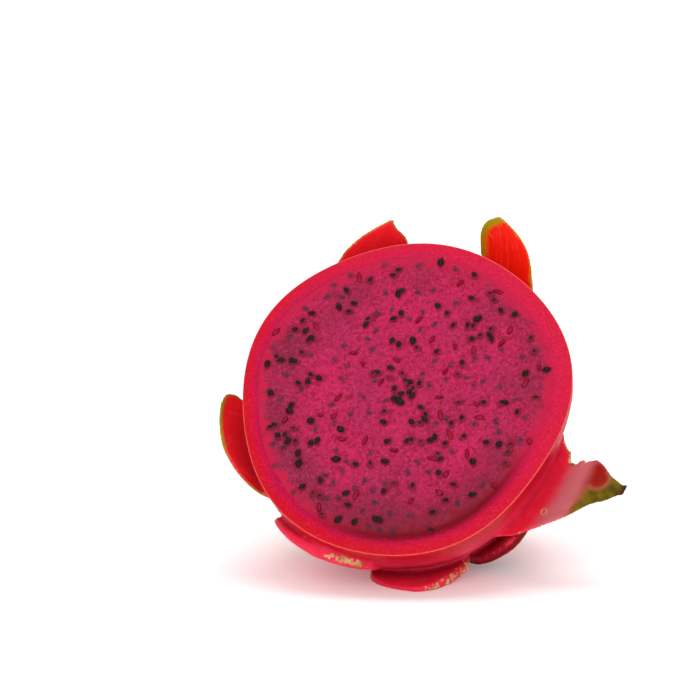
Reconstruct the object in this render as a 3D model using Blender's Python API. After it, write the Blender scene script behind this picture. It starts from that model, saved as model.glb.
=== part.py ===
"""The stem-end half of a dragon fruit, cut across the middle and lying on its round side.

The fruit is worked out about its own axis first. A place on it is a depth behind the cut face, as a share
of the half's length, an angle round the axis, seen from the cut side and counted from the right, and a
height off the skin. One empty then leans the fruit back and lowers it onto the surface at z = 0.
"""

import math

import bmesh
import bpy
from mathutils import Matrix, Vector

MM = 0.001

# Driving sizes, in metres.
CUT_RADIUS = 0.0443
HALF_LENGTH = 0.066
STEM_RADIUS = 0.0078
PEEL_WALL = 0.0042
PEEL_WALL_SHIFT = 0.0009
FIT_GAP = 0.0003
FLATTENED = 0.0009
STUB_RADIUS = 0.0052
STUB_LENGTH = 0.0062
SCALE_ROOT = 0.0026
SCALE_THICK = 0.0030
SCALE_TIP_THICK = 0.0011
SCALE_EDGE_THICK = 0.0006

# How the fruit lies.
LEAN_BACK = math.radians(30)
TURN_LEFT = math.radians(5)

# The body's side runs straight at the cut and closes round at the stem.
FULLNESS = 2.15
# Low bumps in the cut's outline: waves in a turn, share of the radius, degrees at the crest.
OUTLINE_WAVES = ((2, 0.034, 42), (3, 0.017, 24), (5, 0.011, 8))
THICKEST_AT = math.radians(-50)

# Steps of each mesh.
AROUND = 44
RINGS = 11
SCALE_RINGS = 14
SCALE_ACROSS = 5

# Each leafy scale is a curve from its root over a bend to its tip. The places are (depth share, degrees,
# height in mm). Then come its half width in degrees, how blunt its outline is, and in mm how far its
# edges rise over its middle and how far its far edge rises over its near one.
SCALES = {
    "scale_top_left": ((0.36, 106, 0), (0.16, 110, 3.0), (0.03, 96, 8.2), 20, 1.15, 0.5, 2.0),
    "scale_top_right": ((0.34, 52, 0), (0.17, 54, 2.5), (0.04, 65.3, 13.2), 11.5, 5.0, 1.0, 0.0),
    "scale_left": ((0.34, 198, 0), (0.16, 197, 3.5), (0.05, 197, 6.4), 21, 7.0, -2.0, -2.9),
    "scale_lower_left": ((0.38, 244.5, 0), (0.20, 244.5, 1.4), (0.07, 244.5, 2.1), 18, 7.0, 0.2, -0.5),
    "scale_bottom": ((0.50, 277, 0), (0.38, 277, 2), (0.20, 275, 7.6), 19, 4.0, 0.0, 0.0),
    "scale_right": ((0.34, 331, 0), (0.15, 333, 5), (0.08, 338.5, 22.0), 30, 0.75, 0.0, 0.0),
    "scale_upper": ((0.66, 78, 0), (0.46, 79, 2), (0.30, 74, 7.0), 24, 1.4, 0.5, 0.0),
    "scale_upper_left": ((0.62, 152, 0), (0.44, 150, 2), (0.28, 146, 5.5), 23, 1.4, 0.5, 0.0),
    "scale_upper_right": ((0.74, 14, 0), (0.60, 14, 1), (0.46, 18, 2.4), 24, 1.4, 0.5, 0.0),
    "scale_lower_right": ((0.66, 311, 0), (0.50, 311, 3.2), (0.33, 310.5, 3.9), 17, 2.6, 0.0, 0.0),
    "scale_rear_left": ((0.80, 216, 0), (0.66, 216, 1.5), (0.54, 212, 4.5), 24, 1.5, 0.5, 0.0),
    "scale_rear_top": ((0.88, 112, 0), (0.76, 112, 3), (0.66, 116, 9.0), 27, 1.5, 0.5, 0.0),
    "scale_rear_right": ((0.90, 348, 0), (0.84, 346, 3), (0.76, 340, 8.0), 24, 1.5, 0.5, 0.0),
}
STEM_SCALES = 5
STEM_SCALE = ((0.985, 0, 0), (0.975, 0, 3), (0.90, 8, 6.0), 30, 2.2, 0.5, 0.0)
STEM_SCALE_FIRST = 40

# Where an edge bends in, or out if the depth is below 0: the side of the scale, the share along it, how far
# that reaches as a share of the length, and the depth as a share of the half width.
BENDS = {
    "scale_right": (
        (1, 0.40, 0.12, 0.33), (1, 0.56, 0.06, 0.12), (1, 0.86, 0.08, 0.15),
        (-1, 0.30, 0.20, -0.14), (-1, 0.80, 0.10, 0.28),
    ),
    "scale_left": ((-1, 0.95, 0.08, 0.10),),
    "scale_lower_left": ((-1, 0.52, 0.20, -0.24),),
    "scale_top_left": ((1, 0.45, 0.20, 0.10), (-1, 0.72, 0.20, -0.42)),
    "scale_top_right": ((-1, 0.60, 0.30, 0.22),),
    "scale_bottom": ((1, 0.80, 0.15, 0.20),),
}

# Thickness in mm at the root, at the tip and along the edges, where it isn't the plain one.
PLAIN_THICKNESS = (SCALE_THICK / MM, SCALE_TIP_THICK / MM, SCALE_EDGE_THICK / MM)
THICKNESS = {
    "scale_bottom": (3.2, 3.0, 2.4),
    "scale_lower_left": (3.0, 3.4, 1.4),
    "scale_lower_right": (3.0, 4.2, 3.0),
}

# Scales that are cut back where a neighbour lies against them.
CUT_BACK = {
    "scale_lower_right": ("scale_right",),
    "scale_bottom": ("scale_lower_left",),
}

# How a scale's outline closes to its tip, how narrow the tip stays, how its thickness and the sunk part of
# its root run out along it, and from which share of its length its cup and roll are full.
CLOSING = 0.85
TIP_WIDTH = 0.05
THINNING = 0.7
ROOT_RUN_OUT = 3
CUPPED_FROM = 0.5
# The step in s and t over which a scale's own directions are taken.
SLOPE_STEP = 1e-3

# The hollow ends in a ring this much smaller than the stem end.
HOLLOW_END = 0.25

STUB_TAPER = 0.86
STUB_AROUND = 14
SKIN_STEPS = 120
FLOOR_CUTTER = 0.3
SHARP_FROM = math.radians(40)


def all_scales():
    """Every scale's row: the ones on the side, and a ring of the same small one round the stem end."""
    shapes = dict(SCALES)
    for i in range(STEM_SCALES):
        turn = STEM_SCALE_FIRST + 360 * i / STEM_SCALES
        spine = [(share, degrees + turn, height) for share, degrees, height in STEM_SCALE[:3]]
        shapes[f"stem_scale_{i + 1}"] = (*spine, *STEM_SCALE[3:])
    return shapes


SCALE_SHAPES = all_scales()


def outline(angle, share):
    """The radius at the cut as a share of CUT_RADIUS; the bumps die out towards the stem."""
    waves = 0
    for count, size, crest in OUTLINE_WAVES:
        waves += size * math.cos(count * (angle - math.radians(crest)))
    return 1 + waves * max(0.0, 1 - share)


def full_length():
    """Where the side would close to a point, a little past the flat stem end."""
    return HALF_LENGTH / (1 - (STEM_RADIUS / CUT_RADIUS) ** 2) ** (1 / FULLNESS)


def radius_at(share, angle, inset=0.0):
    """The body's radius; an inset gives a surface that far inside the skin all over."""
    depth = max(share, 0.0) * HALF_LENGTH
    closes_at = full_length() - inset
    side = max(0.0, 1 - (depth / closes_at) ** FULLNESS) ** 0.5
    return max((CUT_RADIUS - inset) * outline(angle, share) * side, STEM_RADIUS if inset <= 0 else 0.0)


def wall_at(angle):
    """The peel's wall: thicker on one side of the fruit."""
    return PEEL_WALL + PEEL_WALL_SHIFT * math.cos(angle - THICKEST_AT)


def place(share, angle, height):
    """A point in the fruit's own frame: +Z out of the cut face, +Y up the face."""
    radius = radius_at(share, angle) + height
    return Vector((radius * math.cos(angle), radius * math.sin(angle), -share * HALF_LENGTH))


def ring(share, inset):
    """A closed ring round the body; inset may depend on the angle."""
    angles = [math.tau * i / AROUND for i in range(AROUND)]
    points = []
    for angle in angles:
        radius = radius_at(share, angle, inset(angle))
        points.append(Vector((radius * math.cos(angle), radius * math.sin(angle), -share * HALF_LENGTH)))
    return points


def loft(name, rings):
    """A closed solid through rings of as many points each, with a flat cap on the first and the last."""
    bm = bmesh.new()
    rows = [[bm.verts.new(p) for p in points] for points in rings]
    for low, high in zip(rows, rows[1:]):
        for i in range(len(low)):
            j = (i + 1) % len(low)
            bm.faces.new((low[i], low[j], high[j], high[i]))
    bm.faces.new(reversed(rows[0]))
    bm.faces.new(rows[-1])
    bmesh.ops.recalc_face_normals(bm, faces=bm.faces)
    mesh = bpy.data.meshes.new(name)
    bm.to_mesh(mesh)
    bm.free()
    return bpy.data.objects.new(name, mesh)


def new_collection(name):
    collection = bpy.data.collections.new(name)
    bpy.context.scene.collection.children.link(collection)
    return collection


def skin_material(name, colour, roughness):
    material = bpy.data.materials.new(name)
    material.use_nodes = True
    shader = material.node_tree.nodes["Principled BSDF"]
    shader.inputs["Base Color"].default_value = (*colour, 1)
    shader.inputs["Roughness"].default_value = roughness
    shader.inputs["Metallic"].default_value = 0.0
    return material


def spread(count, end):
    """Shares from 0 to end, closer together where the body closes."""
    return [end * math.sin(math.pi / 2 * i / (count - 1)) for i in range(count)]


def inner_end(inset):
    """The share at which a surface inside the skin has closed to a small ring."""
    closes_at = full_length() - inset
    return closes_at * (1 - (STEM_RADIUS / CUT_RADIUS * HOLLOW_END) ** 2) ** (1 / FULLNESS) / HALF_LENGTH


def body_rings(inset, end):
    return [ring(share, inset) for share in spread(RINGS, end)]


def make_peel():
    """A bowl: down its hollow side from the bottom to the rim, then round the outside to the stem end."""
    hollow = body_rings(wall_at, inner_end(PEEL_WALL + PEEL_WALL_SHIFT))
    outside = body_rings(lambda angle: 0.0, 1.0)
    return loft("peel", hollow[::-1] + outside)


def make_flesh():
    """The solid heart of the fruit, which fills the peel up to the cut."""
    end = inner_end(PEEL_WALL + PEEL_WALL_SHIFT + FIT_GAP)
    return loft("flesh", body_rings(lambda angle: wall_at(angle) + FIT_GAP, end))


def make_stub():
    """The cut stalk, a short peg that widens a little to its broken end."""
    bm = bmesh.new()
    bmesh.ops.create_cone(
        bm, cap_ends=True, segments=STUB_AROUND, radius1=STUB_RADIUS * STUB_TAPER, radius2=STUB_RADIUS,
        depth=STUB_LENGTH,
    )
    bmesh.ops.translate(bm, verts=bm.verts, vec=(0, 0, -HALF_LENGTH - FIT_GAP - STUB_LENGTH / 2))
    mesh = bpy.data.meshes.new("stem_stub")
    bm.to_mesh(mesh)
    bm.free()
    return bpy.data.objects.new("stem_stub", mesh)


def bezier(a, b, c, s):
    return [(1 - s) ** 2 * p + 2 * s * (1 - s) * q + s * s * r for p, q, r in zip(a, b, c)]


def scale_reach(name, s, t):
    """How many degrees a scale reaches to the side of t, at share s from its root to its tip."""
    half_width, bluntness = SCALE_SHAPES[name][3:5]
    reach = half_width * max((1 - s**bluntness) ** CLOSING, TIP_WIDTH)
    for side, middle, length, depth in BENDS.get(name, ()):
        if t * side > 0:
            reach *= 1 - depth * math.exp(-(((s - middle) / length) ** 2))
    return reach


def scale_surface(name, s, t):
    """The middle of a scale's thickness, at share s from root to tip and t from its near to its far edge."""
    root, bend, tip, half_width, bluntness, cup, roll = SCALE_SHAPES[name]
    share, degrees, height = bezier((root[0], root[1], 0), bend, tip, s)
    reach = scale_reach(name, s, t)
    off = t * reach / half_width
    lift = height * MM - SCALE_ROOT * (1 - s) ** ROOT_RUN_OUT
    lift += (cup * off * off + roll * off) * MM * math.sin(math.pi / 2 * min(s / CUPPED_FROM, 1))
    return place(share, math.radians(degrees + t * reach), lift)


def scale_section(name, s):
    """The outline of a scale across its width: its outer side one way, its inner side back."""
    steps = [2 * i / (SCALE_ACROSS - 1) - 1 for i in range(SCALE_ACROSS)]
    at_root, at_tip, at_edge = THICKNESS.get(name, PLAIN_THICKNESS)
    thick = at_root + (at_tip - at_root) * s**THINNING
    outer, inner = [], []
    for t in steps:
        here = scale_surface(name, s, t)
        along = scale_surface(name, min(s + SLOPE_STEP, 1), t) - scale_surface(name, max(s - SLOPE_STEP, 0), t)
        across = scale_surface(name, s, t + SLOPE_STEP) - scale_surface(name, s, t - SLOPE_STEP)
        normal = across.cross(along).normalized()
        half = (at_edge + (thick - at_edge) * math.sqrt(max(0.0, 1 - t * t))) * MM / 2
        outer.append(here + normal * half)
        inner.append(here - normal * half)
    return outer + inner[::-1]


def make_scale(name):
    return loft(name, [scale_section(name, i / (SCALE_RINGS - 1)) for i in range(SCALE_RINGS)])


def placement(outside):
    """Leans the fruit back, turns it, and puts the middle of its flattened spot at the origin."""
    turned = Matrix.Rotation(-TURN_LEFT, 4, "Z") @ Matrix.Rotation(math.pi / 2 - LEAN_BACK, 4, "X")
    lowest = min((turned @ p for p in outside), key=lambda p: p.z)
    return Matrix.Translation((-lowest.x, -lowest.y, -lowest.z - FLATTENED)) @ turned


def skin_points():
    """A fine spread of points over the skin's lower half, to find where it meets the surface below."""
    shares = [i / SKIN_STEPS for i in range(SKIN_STEPS + 1)]
    angles = [-math.pi * i / SKIN_STEPS for i in range(SKIN_STEPS + 1)]
    return [place(share, angle, 0) for share in shares for angle in angles]


def cut(piece, cutter):
    modifier = piece.modifiers.new("cut", "BOOLEAN")
    modifier.operation = "DIFFERENCE"
    modifier.solver = "EXACT"
    modifier.object = cutter


def main():
    for old in list(bpy.data.objects):
        bpy.data.objects.remove(old)
    fruit = new_collection("dragon_fruit_half")
    cutters = new_collection("cutters")

    axis = bpy.data.objects.new("fruit_axis", None)
    fruit.objects.link(axis)
    axis.matrix_world = placement(skin_points())

    body_cutter = loft("body_cutter", body_rings(lambda angle: -FIT_GAP, 1.0))
    bm = bmesh.new()
    bmesh.ops.create_cube(bm, size=FLOOR_CUTTER)
    bmesh.ops.translate(bm, verts=bm.verts, vec=(0, 0, -FLOOR_CUTTER / 2))
    mesh = bpy.data.meshes.new("floor_cutter")
    bm.to_mesh(mesh)
    bm.free()
    floor_cutter = bpy.data.objects.new("floor_cutter", mesh)
    body_cutter.parent = axis
    neighbours = {}
    for name in sorted({name for names in CUT_BACK.values() for name in names}):
        neighbours[name] = make_scale(name)
        neighbours[name].name = f"{name}_cutter"
        neighbours[name].parent = axis
        grown = neighbours[name].modifiers.new("gap", "DISPLACE")
        grown.strength, grown.mid_level = 2 * FIT_GAP, 0.0
    for cutter in (body_cutter, floor_cutter, *neighbours.values()):
        cutters.objects.link(cutter)
        cutter.hide_render = True
        cutter.display_type = "WIRE"

    red = skin_material("crimson peel", (0.70, 0.02, 0.06), 0.42)
    leaf = skin_material("leafy scale", (0.72, 0.04, 0.04), 0.38)
    green = skin_material("olive scale", (0.22, 0.25, 0.03), 0.45)
    pulp = skin_material("magenta flesh", (0.42, 0.03, 0.13), 0.35)
    stalk = skin_material("dry stalk", (0.45, 0.34, 0.16), 0.85)

    pieces = {make_peel(): red, make_flesh(): pulp, make_stub(): stalk}
    for name in SCALE_SHAPES:
        pieces[make_scale(name)] = leaf if name in SCALES else green

    for piece, material in pieces.items():
        fruit.objects.link(piece)
        piece.parent = axis
        piece.data.materials.append(material)
        piece.data.shade_smooth()
        piece.data.set_sharp_from_angle(angle=SHARP_FROM)
        if piece.name in SCALE_SHAPES:
            cut(piece, body_cutter)
        for name in CUT_BACK.get(piece.name, ()):
            cut(piece, neighbours[name])
        if piece.name != "flesh":
            cut(piece, floor_cutter)


main()
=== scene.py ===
"""The stem-end half of a red-fleshed dragon fruit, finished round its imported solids.

The fruit is worked out about its own axis: a place on it is a depth behind the cut face, as a share of the
half's length, an angle round the axis, seen from the cut side and counted from the right, and a height off
the skin. Lengths are in metres unless a name or a comment says millimetres.
"""

import math

import bmesh
import bpy
import numpy as np
from mathutils import Matrix, Vector, noise
from mathutils.kdtree import KDTree


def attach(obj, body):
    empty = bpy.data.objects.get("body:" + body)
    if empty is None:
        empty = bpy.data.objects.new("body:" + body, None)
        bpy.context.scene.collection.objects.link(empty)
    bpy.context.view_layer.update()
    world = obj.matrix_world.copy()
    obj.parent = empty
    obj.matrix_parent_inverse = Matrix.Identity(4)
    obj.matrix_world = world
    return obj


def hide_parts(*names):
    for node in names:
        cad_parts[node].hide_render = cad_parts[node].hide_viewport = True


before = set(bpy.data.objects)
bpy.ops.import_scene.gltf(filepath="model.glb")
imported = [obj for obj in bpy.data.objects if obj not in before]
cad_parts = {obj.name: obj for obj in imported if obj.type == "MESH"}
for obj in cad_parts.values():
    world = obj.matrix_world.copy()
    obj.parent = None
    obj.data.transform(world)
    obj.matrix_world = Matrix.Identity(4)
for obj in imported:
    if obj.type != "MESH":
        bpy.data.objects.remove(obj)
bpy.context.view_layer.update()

MM = 0.001

# Driving sizes, the same as the solids'.
CUT_RADIUS = 0.0443
STEM_RADIUS = 0.0078
PEEL_WALL = 0.0042
PEEL_WALL_SHIFT = 0.0009
THICKEST_AT = math.radians(-50)
FULLNESS = 2.15
OUTLINE_WAVES = ((2, 0.034, 42), (3, 0.017, 24), (5, 0.011, 8))
SCALE_ROOT = 0.0026
SCALE_THICK = 0.0030
SCALE_TIP_THICK = 0.0011
SCALE_EDGE_THICK = 0.0006
# How a scale's outline closes to its tip, how narrow the tip stays, how its thickness and the sunk part of
# its root run out along it, and from which share of its length its cup and roll are full.
CLOSING = 0.85
TIP_WIDTH = 0.05
THINNING = 0.7
ROOT_RUN_OUT = 3
CUPPED_FROM = 0.5

# Each scale: root, bend and tip as (depth share, degrees, height in mm), half width in degrees, bluntness,
# cup and roll in mm.
SCALES = {
    "scale_top_left": ((0.36, 106, 0), (0.16, 110, 3.0), (0.03, 96, 8.2), 20, 1.15, 0.5, 2.0),
    "scale_top_right": ((0.34, 52, 0), (0.17, 54, 2.5), (0.04, 65.3, 13.2), 11.5, 5.0, 1.0, 0.0),
    "scale_left": ((0.34, 198, 0), (0.16, 197, 3.5), (0.05, 197, 6.4), 21, 7.0, -2.0, -2.9),
    "scale_lower_left": ((0.38, 244.5, 0), (0.20, 244.5, 1.4), (0.07, 244.5, 2.1), 18, 7.0, 0.2, -0.5),
    "scale_bottom": ((0.50, 277, 0), (0.38, 277, 2), (0.20, 275, 7.6), 19, 4.0, 0.0, 0.0),
    "scale_right": ((0.34, 331, 0), (0.15, 333, 5), (0.08, 338.5, 22.0), 30, 0.75, 0.0, 0.0),
    "scale_upper": ((0.66, 78, 0), (0.46, 79, 2), (0.30, 74, 7.0), 24, 1.4, 0.5, 0.0),
    "scale_upper_left": ((0.62, 152, 0), (0.44, 150, 2), (0.28, 146, 5.5), 23, 1.4, 0.5, 0.0),
    "scale_upper_right": ((0.74, 14, 0), (0.60, 14, 1), (0.46, 18, 2.4), 24, 1.4, 0.5, 0.0),
    "scale_lower_right": ((0.66, 311, 0), (0.50, 311, 3.2), (0.33, 310.5, 3.9), 17, 2.6, 0.0, 0.0),
    "scale_rear_left": ((0.80, 216, 0), (0.66, 216, 1.5), (0.54, 212, 4.5), 24, 1.5, 0.5, 0.0),
    "scale_rear_top": ((0.88, 112, 0), (0.76, 112, 3), (0.66, 116, 9.0), 27, 1.5, 0.5, 0.0),
    "scale_rear_right": ((0.90, 348, 0), (0.84, 346, 3), (0.76, 340, 8.0), 24, 1.5, 0.5, 0.0),
}
STEM_SCALES = 5
STEM_SCALE = ((0.985, 0, 0), (0.975, 0, 3), (0.90, 8, 6.0), 30, 2.2, 0.5, 0.0)
STEM_SCALE_FIRST = 40


def stem_scales():
    """A ring of the same small scale round the stem end."""
    ring = {}
    for i in range(STEM_SCALES):
        turn = STEM_SCALE_FIRST + 360 * i / STEM_SCALES
        spine = [(share, degrees + turn, height) for share, degrees, height in STEM_SCALE[:3]]
        ring[f"stem_scale_{i + 1}"] = (*spine, *STEM_SCALE[3:])
    return ring


SCALES.update(stem_scales())

# Where an edge bends in, or out if the depth is below 0: the side of the scale, the share along it, how far
# that reaches as a share of the length, and the depth as a share of the half width.
BENDS = {
    "scale_right": (
        (1, 0.40, 0.12, 0.33), (1, 0.56, 0.06, 0.12), (1, 0.86, 0.08, 0.15),
        (-1, 0.30, 0.20, -0.14), (-1, 0.80, 0.10, 0.28),
    ),
    "scale_left": ((-1, 0.95, 0.08, 0.10),),
    "scale_lower_left": ((-1, 0.52, 0.20, -0.24),),
    "scale_top_left": ((1, 0.45, 0.20, 0.10), (-1, 0.72, 0.20, -0.42)),
    "scale_top_right": ((-1, 0.60, 0.30, 0.22),),
    "scale_bottom": ((1, 0.80, 0.15, 0.20),),
}

# Thickness at the root, at the tip and along the edges, in mm, where it isn't the plain one.
PLAIN_THICKNESS = (SCALE_THICK / MM, SCALE_TIP_THICK / MM, SCALE_EDGE_THICK / MM)
THICKNESS = {
    "scale_bottom": (3.2, 3.0, 2.4),
    "scale_lower_left": (3.0, 3.4, 1.4),
    "scale_lower_right": (3.0, 4.2, 3.0),
}

# How each scale has ripened: where the green starts along it, how much of it turns green, how warm its inner
# side is, how many mm of its left and of its right edge, seen from inside, are green, how far the green
# slants towards one edge, and how much of its middle is bleached.
PLAIN_RIPENESS = (0.50, 1.0, 0.35, 1.5, 1.5, 0.0, 0.2)
STEM_RIPENESS = (0.10, 1.0, 0.2, 3.0, 3.0, 0.0, 0.0)
RIPENESS = {
    "scale_top_left": (0.97, 0.4, 0.65, 0.2, 0.2, 0.0, 0.0),
    "scale_top_right": (0.97, 0.6, 1.00, 2.2, 0.5, 0.0, 0.0),
    "scale_left": (0.98, 0.3, 0.60, 0.2, 0.9, 0.0, 0.0),
    "scale_lower_left": (1.00, 0.0, 0.00, 0.0, 0.0, 0.0, 0.3),
    "scale_bottom": (1.00, 0.0, 0.00, 0.0, 0.0, 0.0, 0.0),
    "scale_right": (0.58, 1.0, 0.10, 0.5, 0.0, 0.04, 1.0),
    "scale_lower_right": (1.00, 0.0, 0.00, 0.0, 0.0, 0.0, 0.0),
}

# How many mm in from its edge a scale has dried. Below 0, only the ragged pattern's peaks have.
PLAIN_DRY = 0.25
EDGE_DRY = {
    "scale_lower_left": -0.4, "scale_bottom": -1.0, "scale_lower_right": -1.0, "scale_right": -0.1,
    "scale_left": -0.3,
}

# Torn edges: the side of the scale, from and to which share along it, how deep the tears go as a share of
# the half width, and how many mm in they have dried.
TORN = {
    "scale_right": (1, 0.20, 0.58, 0.16, 0.7),
    "scale_bottom": (1, 0.40, 1.0, 0.16, 0.20),
    "scale_lower_left": (1, 0.78, 1.0, 0.16, 0.40),
}
# Tears fade in over these shares across a scale, and along it from and to these places round their own ends.
TORN_ACROSS, TORN_START, TORN_END = (0.15, 0.5), (-0.06, 0.04), (0.05, -0.05)
# The tears' outline: its mean depth, and waves of a size, turns along the scale in radians, and a start.
BITE_MEAN, BITES = 0.55, ((0.3, 31, 1), (0.25, 73, 0), (0.2, 127, 2))

# Painted shade: scales whose inner side faces the ground and is painted deep red towards the root, and the
# one under the fruit that is painted deep red all over.
SHADED_INSIDE = ("scale_bottom", "scale_lower_left")
SHADED_SCALE = "scale_lower_right"
# A dusky blotch on a scale: its middle and its reach along the scale, and then across it, as shares.
BLOTCHES = {"scale_right": ((0.76, 0.13), (0.50, 0.85))}
# A fold at the root of one scale's inner side, and the ridge beyond it: share along, reach and height in mm.
FOLDED_SCALE = "scale_right"
FOLD, RIDGE = (0.14, 0.05, -0.6), (0.235, 0.05, 0.45)
# A round scar on a scale's inner side: its middle as shares along and across, and its radius.
SCAR_SCALE, SCAR_AT, SCAR_RADIUS = "scale_right", (0.44, -0.62), 0.85 * MM


def number_of(name):
    """A scale's number, by which the facts about the skin know it."""
    return list(SCALES).index(name)


# ---------------------------------------------------------------- the fruit's axis, from the solids

def node_points(node):
    """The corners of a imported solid, each once."""
    points = np.array([v.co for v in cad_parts[node].data.vertices])
    return np.unique(np.round(points, 6), axis=0)


def cut_normal():
    """The direction that the cut face looks in: the flesh's largest flat side."""
    areas = {}
    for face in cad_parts["flesh"].data.polygons:
        key = tuple(round(c, 3) for c in face.normal)
        areas[key] = areas.get(key, 0) + face.area
    return Vector(max(areas, key=areas.get)).normalized()


def fruit_axis():
    """The fruit's frame in the row: X right and Y up along the cut face, Z out of it."""
    out = cut_normal()
    up = (Vector((0, 0, 1)) - out * out.z).normalized()
    right = up.cross(out)
    stub = Vector(node_points("stem_stub").mean(axis=0))
    plane = max(Vector(p).dot(out) for p in node_points("peel"))
    centre = stub + out * (plane - stub.dot(out))
    axis = Matrix((right, up, out)).transposed().to_4x4()
    axis.translation = centre
    return axis


AXIS = fruit_axis()
HALF_LENGTH = max((AXIS.translation - Vector(p)).dot(AXIS.col[2].to_3d()) for p in node_points("peel"))


# ---------------------------------------------------------------- the fruit's own surface

LUMP_FADE, LUMP_STEP = 0.8, 2.1


def outline(angle, share):
    """The radius at the cut as a share of CUT_RADIUS; the waves die out towards the stem."""
    waves = sum(size * np.cos(count * (angle - math.radians(crest))) for count, size, crest in OUTLINE_WAVES)
    return 1 + waves * np.maximum(0.0, 1 - share)


def full_length():
    """Where the side would close to a point, a little past the stem end."""
    return HALF_LENGTH / (1 - (STEM_RADIUS / CUT_RADIUS) ** 2) ** (1 / FULLNESS)


def radius_at(share, angle, inset=0.0):
    """The body's radius; an inset gives a surface that far inside the skin all over."""
    depth = np.maximum(share, 0.0) * HALF_LENGTH
    side = np.sqrt(np.maximum(0.0, 1 - (depth / (full_length() - inset)) ** FULLNESS))
    return np.maximum((CUT_RADIUS - inset) * outline(angle, share) * side, 0.0 if inset else STEM_RADIUS)


def wall_at(angle):
    """The peel's wall: thicker on one side of the fruit."""
    return PEEL_WALL + PEEL_WALL_SHIFT * np.cos(angle - THICKEST_AT)


def round_axis(radius, angle, height):
    """Points at a radius and an angle round the fruit's axis, this high over the cut's plane."""
    return np.stack(np.broadcast_arrays(radius * np.cos(angle), radius * np.sin(angle), height), -1)


def place(share, angle, height):
    """Points at a share of the half's length, an angle and a height off the skin."""
    return round_axis(radius_at(share, angle) + height, angle, -share * HALF_LENGTH)


def lumps(points, size, octaves=2, shift=0.0):
    """Smooth noise of about -1 to 1 at each point, whose lumps are this far apart."""
    moved = Vector((shift, shift, shift))
    return np.array([noise.fractal(Vector(p) / size + moved, LUMP_FADE, LUMP_STEP, octaves) for p in points])


# ---------------------------------------------------------------- mesh helpers

def new_object(name, points, faces):
    """A plain mesh object in the scene."""
    mesh = bpy.data.meshes.new(name)
    mesh.from_pydata([tuple(p) for p in points], [], faces)
    mesh.validate()
    piece = bpy.data.objects.new(name, mesh)
    bpy.context.scene.collection.objects.link(piece)
    return piece


def loft(rings):
    """Points and faces of a closed solid through rings of as many points each, capped flat at both ends."""
    count, around = rings.shape[:2]
    points = rings.reshape(-1, 3)
    faces = ring_faces(count, around)
    faces.append(list(range(around))[::-1])
    faces.append([(count - 1) * around + k for k in range(around)])
    return points, faces


def ring_faces(count, around):
    """The faces between each ring of points and the next."""
    i, j = np.meshgrid(np.arange(count - 1), np.arange(around), indexing="ij")
    a, b = i * around + j, i * around + (j + 1) % around
    return np.stack([a, b, b + around, a + around], -1).reshape(-1, 4).tolist()


def joined(name, solids):
    """One object of several closed solids."""
    points, faces, start = [], [], 0
    for some, sides in solids:
        points.append(some)
        faces += [[v + start for v in face] for face in sides]
        start += len(some)
    piece = new_object(name, np.concatenate(points), faces)
    turn_outwards(piece.data)
    return piece


def turn_outwards(mesh):
    """Turns every face of a closed mesh to look out of it."""
    bm = bmesh.new()
    bm.from_mesh(mesh)
    bmesh.ops.recalc_face_normals(bm, faces=bm.faces)
    bm.to_mesh(mesh)
    bm.free()


def baked(piece):
    """The piece with its modifiers turned into plain mesh."""
    depsgraph = bpy.context.evaluated_depsgraph_get()
    mesh = bpy.data.meshes.new_from_object(piece.evaluated_get(depsgraph))
    piece.modifiers.clear()
    piece.data = mesh
    return piece


def coords(mesh):
    """A mesh's corners, one row each."""
    points = np.empty(len(mesh.vertices) * 3, np.float32)
    mesh.vertices.foreach_get("co", points)
    return points.reshape(-1, 3).astype(float)


def normals(mesh):
    """The way the surface looks at each corner."""
    found = np.empty(len(mesh.vertices) * 3, np.float32)
    mesh.vertex_normals.foreach_get("vector", found)
    return found.reshape(-1, 3).astype(float)


def set_coords(mesh, points):
    """Moves the vertices of a mesh to these places."""
    mesh.vertices.foreach_set("co", np.ascontiguousarray(points, np.float32).ravel())
    mesh.update()


def paint(mesh, name, values):
    """A number on each vertex, for a material to read."""
    layer = mesh.attributes.get(name) or mesh.attributes.new(name, "FLOAT", "POINT")
    layer.data.foreach_set("value", np.ascontiguousarray(values, np.float32))


def smoothstep(low, high, value):
    """0 at low, 1 at high and smooth between; low may be the larger."""
    share = np.clip((value - low) / (high - low), 0, 1)
    return share * share * (3 - 2 * share)


def into_row(piece):
    """Puts a piece that was worked out about the fruit's axis where the fruit lies, flat on the ground."""
    piece.data.transform(AXIS)
    points = coords(piece.data)
    points[:, 2] = np.maximum(points[:, 2], 0)
    set_coords(piece.data, points)
    piece.data.shade_smooth()
    return piece


# ---------------------------------------------------------------- skin and scales

BODY_AROUND, BODY_RINGS = 220, 120
# The body runs this far past the cut, and its last ring at the stem end is this much smaller.
PAST_CUT, STEM_END = 3 * MM, 0.5
SCALE_STEPS, SCALE_ACROSS = 60, 25
# The step from which a scale's edges stand free of the body.
FREE_FROM = SCALE_STEPS // 6
# The step in s and t over which a scale's own directions are taken.
SLOPE_STEP = 1e-3
SKIN_VOXEL = 0.42 * MM
SKIN_TRIANGLES = 130000


def bezier(a, b, c, s):
    """A curve's place at share s from a to c, drawn towards b."""
    return [(1 - s) ** 2 * p + 2 * s * (1 - s) * q + s * s * r for p, q, r in zip(a, b, c)]


def torn_part(name, s, t):
    """How much of a scale's torn edge a place is on, from 0 to 1."""
    if name not in TORN:
        return np.zeros_like(s + t)
    side, low, high = TORN[name][:3]
    started = smoothstep(low + TORN_START[0], low + TORN_START[1], s)
    not_over = smoothstep(high + TORN_END[0], high + TORN_END[1], s)
    return started * not_over * smoothstep(*TORN_ACROSS, t * side)


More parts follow.
